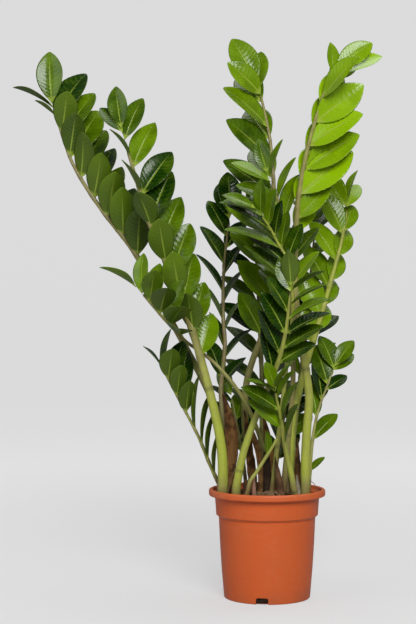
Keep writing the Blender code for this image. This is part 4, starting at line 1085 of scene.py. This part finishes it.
def make_pot(look, material):
    """The pot: a tapered cup with a shallow groove, a chamfered collar and a rolled lip, and with drain
    notches cut through its foot."""
    top, lip, wall = look.height, look.lip_radius, look.wall
    outer = [(0, 0), (0.020, 0), (0.050, 0), (0.072, 0)] + arc((0.0756, 0.0020), 0.0020, -90, 0)
    outer += [(0.0800, 0.0290), (0.0824, 0.0570), (0.0848, 0.0960), (0.0870, 0.1420), (0.08715, 0.1436)]
    outer += [(0.0866, 0.1441), (0.0866, 0.1447), (0.0873, 0.1452), (0.0882, 0.1461)]
    outer += arc((0.0908, 0.1500), 0.0012, -60, 0, 4) + [(0.0929, 0.1660)]
    outer += [(0.0942, top - 0.0132)] + arc((0.0957, top - 0.0132), 0.0015, 180, 90, 4)
    outer += [(lip - 0.0034, top - 0.0117)] + arc((lip - 0.0026, top - 0.0091), 0.0026, -80, 0)
    outer += [(lip + 0.0000, top - 0.0060)] + arc((lip - 0.0031, top - 0.0031), 0.0031, 0, 90, 7)
    outer += arc((lip - 0.0050, top - 0.0022), 0.0022, 90, 180, 6)
    outer += [(lip - 0.0074, top - 0.0050), (lip - 0.0085, top - 0.0072), (lip - 0.0112, top - 0.0088)]
    outer += arc((0.0942 - wall + 0.0006, top - 0.0105), 0.0010, 90, 180, 4)
    inner = [(radius - wall, height) for radius, height in (
        (0.0929, 0.1665), (0.0920, 0.1502), (0.0906, 0.1490), (0.0874, 0.1462), (0.0870, 0.1420),
        (0.0824, 0.0570), (0.0800, 0.0290), (0.0777, 0.0050), (0.0750, 0.0027))]
    inner += [(0.0700, 0.0025), (0.0300, 0.0025), (0, 0.0025)]
    pot = turned("pot_shell", outer + inner, 180)
    count, width, height, first = 3, 0.0220, 0.0118, radians(-98.7)
    angles = first + full_turn(count)
    corner = 0.0035
    outline = [(-width / 2, -0.002), (-width / 2, height - corner)]
    outline += arc((-width / 2 + corner, height - corner), corner, 150, 90, 3)
    outline += arc((width / 2 - corner, height - corner), corner, 90, 30, 3)
    outline += [(width / 2, height - corner), (width / 2, -0.002)]
    outline = np.array(outline)
    out = xyz(np.cos(angles), np.sin(angles), 0)
    side = xyz(-np.sin(angles), np.cos(angles), 0)
    reach = np.array([0.0700, 0.0860])
    rings = (reach[None, :, None, None] * out[:, None, None]
             + outline[None, None, :, :1] * side[:, None, None]
             + outline[None, None, :, 1:] * np.array([0, 0, 1.0]))
    cutter = closed_tubes("notch_cutter", rings, rings.mean(axis=2), np.array([0.0, 1.0]),
                          np.linspace(0, 1, len(outline) + 1))
    cut = pot.modifiers.new("Notches", "BOOLEAN")
    cut.operation, cut.object, cut.solver = "DIFFERENCE", cutter, "EXACT"
    shaped = bpy.data.meshes.new_from_object(pot.evaluated_get(bpy.context.evaluated_depsgraph_get()))
    pot.modifiers.clear()
    pot.data = shaped
    pot.data.set_sharp_from_angle(angle=radians(POT_SHARP))
    bpy.data.objects.remove(cutter)
    return belongs(pot, "terracotta_plastic", "nursery_pot", material=material)


def soil_height(x, y):
    """Height of the soil's surface: a low mound with lumps of a few millimetres."""
    radius = np.sqrt(x**2 + y**2) / SOIL_RADIUS
    mound = np.interp(radius, (0, 0.4, 0.8, 1.0), (SOIL_MIDDLE, SOIL_MIDDLE, SOIL_EDGE + 0.002, SOIL_EDGE))
    flat = xyz(x, y, 0)
    lumps = 0.0012 * waves(flat, 0.030, LUMP_SEED, 7)
    return mound + lumps + 0.0008 * waves(flat, 0.009, GRAIN_SEED, 9) - 0.0006


def make_soil(material):
    """The soil: a disc whose top is lumpy, closed by a side and a bottom a hair inside the pot."""
    _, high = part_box("potting_soil")
    rim = high[0]
    side = [(0, 0.0030), (0.040, 0.0030), (0.0750, 0.0030), (0.0799, 0.0570), (0.0845, 0.1440),
            (0.0893, 0.1500), (rim, SOIL_EDGE - 0.002)]
    top = [(rim * share, SOIL_EDGE) for share in np.linspace(1.0, 0.02, 44)] + [(0, SOIL_MIDDLE)]

    def lumps(rings):
        on_top = np.arange(len(rings))[:, None] >= len(side) - 1
        rings[..., 2] = np.where(on_top, soil_height(rings[..., 0], rings[..., 1]), rings[..., 2])
        return rings

    soil = turned("soil_bed", side + top, 120, shift=lumps)
    return belongs(soil, "potting_soil", "potting_soil", material=material)


def make_crumbs(settings, material):
    """Crumbs and chips: squashed beads of 20 faces, scattered over the soil and sunk halfway into it."""
    rng = np.random.default_rng(CRUMB_SEED)
    count, sides = settings.crumbs, 5
    radius = 0.088 * np.sqrt(rng.uniform(0.01, 1, count))
    angle = rng.uniform(0, 2 * pi, count)
    x, y = radius * np.cos(angle), radius * np.sin(angle)
    size = settings.crumb_size * rng.lognormal(0, 0.42, count)
    chip = rng.uniform(size=count) < 0.13
    long = np.where(chip, rng.uniform(1.8, 3.6, count), rng.uniform(0.9, 1.4, count))
    flat = np.where(chip, 0.55, rng.uniform(0.6, 1.0, count))
    heading, tilt = rng.uniform(0, 2 * pi, count), rng.uniform(-0.4, 0.4, count)
    centre = xyz(x, y, soil_height(x, y) + size * 0.30)
    ahead = xyz(np.cos(heading) * np.cos(tilt), np.sin(heading) * np.cos(tilt), np.sin(tilt))
    aside = xyz(-np.sin(heading), np.cos(heading), 0)
    above = np.cross(ahead, aside)
    step = np.array([-0.62, 0.05, 0.66])
    bulge = np.array([0.72, 1.0, 0.68])
    turn = full_turn(sides)
    jitter = rng.uniform(0.78, 1.2, (count, 3, sides))
    across = (size[:, None, None] * bulge[:, None] * jitter)[..., None]
    rings = (centre[:, None, None]
             + (size * long)[:, None, None, None] * step[:, None, None] * ahead[:, None, None]
             + across * (np.cos(turn)[:, None] * aside[:, None, None]
                         + flat[:, None, None, None] * np.sin(turn)[:, None] * above[:, None, None]))
    poles = centre[:, None] + (size * long)[:, None, None] * np.array([[-0.9], [0.95]]) * ahead[:, None]
    crumbs = closed_tubes("soil_crumbs", rings, poles, np.linspace(0, 1, 3),
                          np.linspace(0, 1, sides + 1), CRUMB_SHARP)
    store(crumbs, "shade", per_tube(rng.uniform(0, 1, (count, 1)), 3, sides))
    return belongs(crumbs, "potting_soil", "potting_soil", material=material)


def make_husk(husk, material, seed):
    """A dry sheath: a curled strip whose cross-section is an arc, with ragged edges."""
    rings, half_count = 30, 7
    line = smooth_route(husk.route, rings)
    share = np.linspace(0, 1, rings)
    half = np.interp(share, np.linspace(0, 1, len(husk.half_widths)), husk.half_widths)
    facing = np.array([cos(radians(husk.faces)), sin(radians(husk.faces)), 0])
    tangent = np.gradient(line, axis=0)
    across = unit(np.cross(facing, unit(tangent)))
    front = np.linspace(-1, 1, half_count)
    around = np.concatenate([front, front[::-1]])
    inside = np.concatenate([np.zeros(half_count), np.ones(half_count)])
    bend = 1.25 + 0.25 * np.sin(5 * share + seed)
    angle = bend[:, None] * around
    edge = half[:, None] * (1 + 0.16 * waves(xyz(line[:, 2:], 0.01 * around, 0), 0.018, seed))
    out = edge * (np.cos(angle) - np.cos(bend)[:, None]) * 0.62
    out = out + 0.0010 * np.sin(9 * around + 4 * share[:, None])
    thick = 0.0007 * (1 - 0.4 * share[:, None])
    rings_xyz = (line[:, None] + (edge * np.sin(angle) / np.sin(bend)[:, None])[..., None] * across[:, None]
                 + (out - thick * inside)[..., None] * facing - 0.25 * half[:, None, None] * facing)
    poles = np.stack([rings_xyz[0].mean(axis=0), rings_xyz[-1].mean(axis=0)])[None]
    name = husk.name.replace("husk_", "sheath_")
    piece = closed_tubes(name, rings_xyz[None], poles, share, np.linspace(0, 1, 2 * half_count + 1), 70)
    return belongs(piece, "dry_husk", husk.name, material=material)


def make_shoot(shoot, slot, material, roughness, seed):
    """A bud, stub or chip: a tapering tube with lumps and with ridges round it."""
    rings, sides = 34, 20
    line = smooth_route(shoot.route, rings)
    share = np.linspace(0, 1, rings)
    radius = np.interp(share, np.linspace(0, 1, len(shoot.radii)), shoot.radii) * 0.96
    angle = full_turn(sides)
    place = xyz(0.02 * np.cos(angle), 0.02 * np.sin(angle), line[:, 2:])
    scales = 0.5 * np.abs(np.sin(5.5 * pi * share))[:, None] ** 0.5
    bump = roughness * (waves(place, 0.016, seed) + 0.6 * waves(place, 0.006, seed + 1) + scales - 0.4)
    piece = round_tube(shoot.name + "_skin", line[None], radius[None], sides, bump=bump[None])
    return belongs(piece, slot, shoot.name, material=material)


def fibre_lines(count, centre, spread, length, rise, seed):
    """Curved fibres: each leaves its start at a random heading, bends, and rises and falls once."""
    rng = np.random.default_rng(seed)
    share = np.linspace(0, 1, 9)
    start = centre + rng.normal(size=(count, 3)) * spread
    heading = rng.uniform(0, 2 * pi, (count, 1)) + rng.normal(0, 1.6, (count, 1)) * share
    size = length * rng.uniform(0.5, 1.2, (count, 1))
    x = start[:, :1] + np.cumsum(np.cos(heading), axis=1) * size / 9
    y = start[:, 1:2] + np.cumsum(np.sin(heading), axis=1) * size / 9
    z = start[:, 2:] + rise * rng.uniform(0.2, 1.2, (count, 1)) * np.sin(pi * share)
    return xyz(x, y, z)


def make_roots(settings, material):
    """The clump of dry roots, and a few single threads that run from the stems' feet to the soil."""
    clump = fibre_lines(settings.root_fibres, np.array([0.001, -0.079, 0.1870]),
                        np.array([0.0095, 0.0028, 0.0022]), 0.015, 0.0095, ROOT_SEED)
    clump[..., 1] = np.clip(clump[..., 1], -0.0868, -0.072)
    thin = np.interp(np.linspace(0, 1, 9), (0, 0.5, 1), (0.00045, 0.00080, 0.0003))
    piece = round_tube("root_fibres", clump, np.repeat(thin[None], len(clump), axis=0), 5)
    belongs(piece, "dry_husk", "root_clump", material=material)
    threads = np.array([smooth_route(route, 24) for route in THREADS])
    thin = np.interp(np.linspace(0, 1, 24), (0, 1), (0.0007, 0.00035))
    piece = round_tube("root_threads", threads, np.repeat(thin[None], len(THREADS), axis=0), 7)
    return belongs(piece, "dry_husk", "root_clump", material=material)


def light(name, place, towards, size, power):
    """A soft square light that looks at a point."""
    data = bpy.data.lights.new(name, "AREA")
    data.shape, data.energy = "RECTANGLE", power
    data.size, data.size_y = size
    lamp = place_in_scene(name, data)
    direction = np.array(towards) - np.array(place)
    lamp.location = place
    lamp.rotation_mode = "QUATERNION"
    lamp.rotation_quaternion = Vector(direction).to_track_quat("-Z", "Y")


def make_floor(colour, glow):
    """The floor: level near the plant, then bent up all round in a quarter circle, like a bowl with
    straight sides. Its profile of (radius, height) is carried round the upright axis."""
    flat, bend, top, steps = 7.0, 2.5, 9.0, 96
    turn = np.radians(np.linspace(-90, 0, 24))
    radius = np.concatenate([np.linspace(0.5, flat, 12), flat + bend * np.cos(turn), [flat + bend]])
    height = np.concatenate([np.zeros(12), bend + bend * np.sin(turn), [top]])
    angle = full_turn(steps)
    grid = xyz(radius[:, None] * np.cos(angle), radius[:, None] * np.sin(angle), height[:, None])
    ring, side = np.meshgrid(np.arange(len(radius) - 1), np.arange(steps), indexing="ij")
    low, beside = 1 + ring * steps + side, 1 + ring * steps + (side + 1) % steps
    quads = np.stack([low, low + steps, beside + steps, beside], axis=-1).reshape(-1, 4)
    side = np.arange(steps)
    middle = np.stack([0 * side, 1 + side, 1 + (side + 1) % steps], axis=-1)
    mesh = bpy.data.meshes.new("floor")
    mesh.from_pydata([(0, 0, 0), *grid.reshape(-1, 3).tolist()], [], quads.tolist() + middle.tolist())
    mesh.shade_smooth()
    floor = place_in_scene("floor", mesh)
    material, tree = new_material("studio_floor", Roughness=0.85, Specular_IOR_Level=0.1,
                                  Emission_Color=(1, 1, 1, 1))
    speck = use(tree, "Mottle", scale=2.0, detail=2.0, low=0.2, high=0.8)
    put((speck * 0.04).mix(colour, [0.92 * c for c in colour]), shader_inputs(material)["Base Color"])
    place = add(tree, "TexCoord", output="Object")
    away = add(tree, "VectorMath", {0: place}, output="Value", operation="LENGTH")
    seen = add(tree, "LightPath", output="Is Camera Ray").linear(0.0, 1.0, 0.18, 1.0)
    put(away.fit(0.0, 2.6, 0.79 * glow, 1.07 * glow) * seen, shader_inputs(material)["Emission Strength"])
    mesh.materials.append(material)
    floor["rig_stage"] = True


# ---------------------------------------------------------------- operators

class PLANT_OT_groups(bpy.types.Operator):
    """Build the node groups that the materials share"""
    bl_idname = "plant.groups"
    bl_label = "Shared Effects"

    def execute(self, context):
        make_groups()
        return {"FINISHED"}


class PLANT_OT_pot(bpy.types.Operator):
    """Build the nursery pot with its rolled lip and drain notches"""
    bl_idname = "plant.pot"
    bl_label = "Pot"

    def execute(self, context):
        look = context.scene.pot_look
        make_pot(look, pot_material(look))
        return {"FINISHED"}


class PLANT_OT_soil(bpy.types.Operator):
    """Build the soil bed and the crumbs on it"""
    bl_idname = "plant.soil"
    bl_label = "Soil"

    def execute(self, context):
        make_soil(soil_material())
        make_crumbs(context.scene.soil_look, crumb_material())
        return {"FINISHED"}


class PLANT_OT_fronds(bpy.types.Operator):
    """Build the stem and the leaflets of each frond"""
    bl_idname = "plant.fronds"
    bl_label = "Fronds"

    def execute(self, context):
        look = context.scene.plant_look
        blade, skin = leaf_material(look), stem_material(look)
        tubers = {tuber.name: tuber for tuber in TUBERS}
        lines = {frond.name: stem_line(frond, tubers) for frond in FRONDS}
        leaves = settle_leaves(FRONDS, lines)
        for frond in FRONDS:
            make_stem(frond, lines[frond.name], leaves[frond.name], skin)
            make_leaflets(frond, leaves[frond.name], look, blade)
            same_place(frond.name)
        return {"FINISHED"}


class PLANT_OT_husks(bpy.types.Operator):
    """Build the dry sheaths round the stems' feet"""
    bl_idname = "plant.husks"
    bl_label = "Sheaths"

    def execute(self, context):
        brown = fibre_material("dry_sheath", (0.040, 0.012, 0.004), (0.46, 0.185, 0.046),
                               (0.74, 0.42, 0.15), 0.0012)
        pale = fibre_material("pale_sheath", (0.24, 0.19, 0.11), (0.55, 0.50, 0.36), (0.68, 0.64, 0.50))
        for number, husk in enumerate(HUSKS):
            make_husk(husk, pale if husk.name == "husk_pale" else brown, HUSK_SEED + number)
        return {"FINISHED"}


class PLANT_OT_shoots(bpy.types.Operator):
    """Build the stump, the buds, the stub and the chip of bark"""
    bl_idname = "plant.shoots"
    bl_label = "Buds and Stumps"

    def execute(self, context):
        wood = fibre_material("old_stump_bark", (0.012, 0.008, 0.005), (0.075, 0.042, 0.022),
                              (0.13, 0.08, 0.045), 0.0012)
        bud = fibre_material("bud_skin", (0.075, 0.032, 0.014), (0.21, 0.105, 0.045),
                             (0.31, 0.19, 0.09), 0.0006)
        pink = fibre_material("pink_bud_skin", (0.30, 0.13, 0.08), (0.52, 0.27, 0.18),
                              (0.66, 0.42, 0.30), 0.0003)
        chip = fibre_material("bark_chip_skin", (0.10, 0.055, 0.026), (0.30, 0.19, 0.10),
                              (0.42, 0.29, 0.17), 0.0006)
        finishes = {
            "old_stump": ("old_wood", wood, 0.16), "brown_bud": ("old_wood", bud, 0.07),
            "pink_bud": ("young_bud", pink, 0.05), "cut_stub": ("old_wood", bud, 0.08),
            "bark_chip": ("dry_husk", chip, 0.14),
        }
        for number, shoot in enumerate(SHOOTS):
            slot, material, roughness = finishes[shoot.name]
            make_shoot(shoot, slot, material, roughness, SHOOT_SEED + 3 * number)
        return {"FINISHED"}


class PLANT_OT_roots(bpy.types.Operator):
    """Build the clump of dry roots and the loose threads"""
    bl_idname = "plant.roots"
    bl_label = "Roots"

    def execute(self, context):
        dry = fibre_material("dry_root", (0.16, 0.095, 0.045), (0.38, 0.25, 0.13), (0.52, 0.38, 0.23),
                             0.0002)
        make_roots(context.scene.soil_look, dry)
        return {"FINISHED"}


class PLANT_OT_tubers(bpy.types.Operator):
    """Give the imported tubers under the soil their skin"""
    bl_idname = "plant.tubers"
    bl_label = "Tubers"

    def execute(self, context):
        skin = tuber_material()
        for tuber in TUBERS:
            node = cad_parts[tuber.name]
            for slot in node.material_slots:
                slot.material = skin
        return {"FINISHED"}


class PLANT_OT_stage(bpy.types.Operator):
    """Build the floor, the soft lights and the camera"""
    bl_idname = "plant.stage"
    bl_label = "Stage"

    def execute(self, context):
        look = context.scene.stage_look
        make_floor(look.floor_colour, look.floor_glow)
        light("Key light", (0.40, -2.5, 1.9), (-0.1, 0, 0.5), (1.2, 1.3), look.key_power)
        light("Fill light", (-2.0, -1.1, 1.3), (0.0, 0, 0.5), (1.0, 1.8), look.fill_power)
        light("Top light", (0.2, 0.5, 2.6), (0.0, 0, 0.6), (1.8, 1.4), look.top_power)
        world = bpy.data.worlds.new("Studio")
        world.use_nodes = True
        world.node_tree.nodes["Background"].inputs["Color"].default_value = (1, 1, 1, 1)
        world.node_tree.nodes["Background"].inputs["Strength"].default_value = look.world_light
        context.scene.world = world
        context.scene.view_settings.view_transform = "Standard"
        camera = place_in_scene("Camera", bpy.data.cameras.new("Camera"))
        camera.location = look.camera_place
        camera.rotation_euler = (pi / 2, 0, 0)
        camera.data.lens = look.lens
        camera.data.sensor_width = 36
        context.scene.camera = camera
        return {"FINISHED"}


def same_place(node):
    """Stop if a frond's pieces don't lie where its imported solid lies."""
    low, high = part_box(node)
    room = 0.012
    bpy.context.view_layer.update()
    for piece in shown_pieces():
        if node not in piece.get("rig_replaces", []):
            continue
        corners = np.array([corner[:] for corner in piece.bound_box])
        past = np.maximum(np.array(low) - corners.min(axis=0), corners.max(axis=0) - np.array(high))
        if (past > room).any():
            raise RuntimeError(f"{piece.name} doesn't lie where {node} does")


STEPS = (PLANT_OT_groups, PLANT_OT_stage, PLANT_OT_pot, PLANT_OT_soil, PLANT_OT_fronds, PLANT_OT_husks,
         PLANT_OT_shoots, PLANT_OT_roots, PLANT_OT_tubers)
LOOKS = {"plant_look": PlantSettings, "pot_look": PotSettings, "soil_look": SoilSettings,
         "stage_look": StageSettings}


class PLANT_PT_panel(bpy.types.Panel):
    """Lists the steps that build the plant, and its settings"""
    bl_idname = "PLANT_PT_panel"
    bl_label = "Potted ZZ Plant"
    bl_space_type = "VIEW_3D"
    bl_region_type = "UI"
    bl_category = "Plant"

    def draw(self, context):
        for step in STEPS:
            self.layout.operator(step.bl_idname)
        for name, kind in LOOKS.items():
            box = self.layout.box()
            for key in kind.__annotations__:
                box.prop(getattr(context.scene, name), key)


def register():
    for kind in (*LOOKS.values(), *STEPS, PLANT_PT_panel):
        bpy.utils.register_class(kind)
    for name, kind in LOOKS.items():
        setattr(bpy.types.Scene, name, PointerProperty(type=kind))


def unregister():
    for name in LOOKS:
        delattr(bpy.types.Scene, name)
    for kind in reversed((*LOOKS.values(), *STEPS, PLANT_PT_panel)):
        bpy.utils.unregister_class(kind)


def main():
    register()
    for step in STEPS:
        space, name = step.bl_idname.split(".")
        getattr(getattr(bpy.ops, space), name)()


if __name__ == "__main__":
    main()
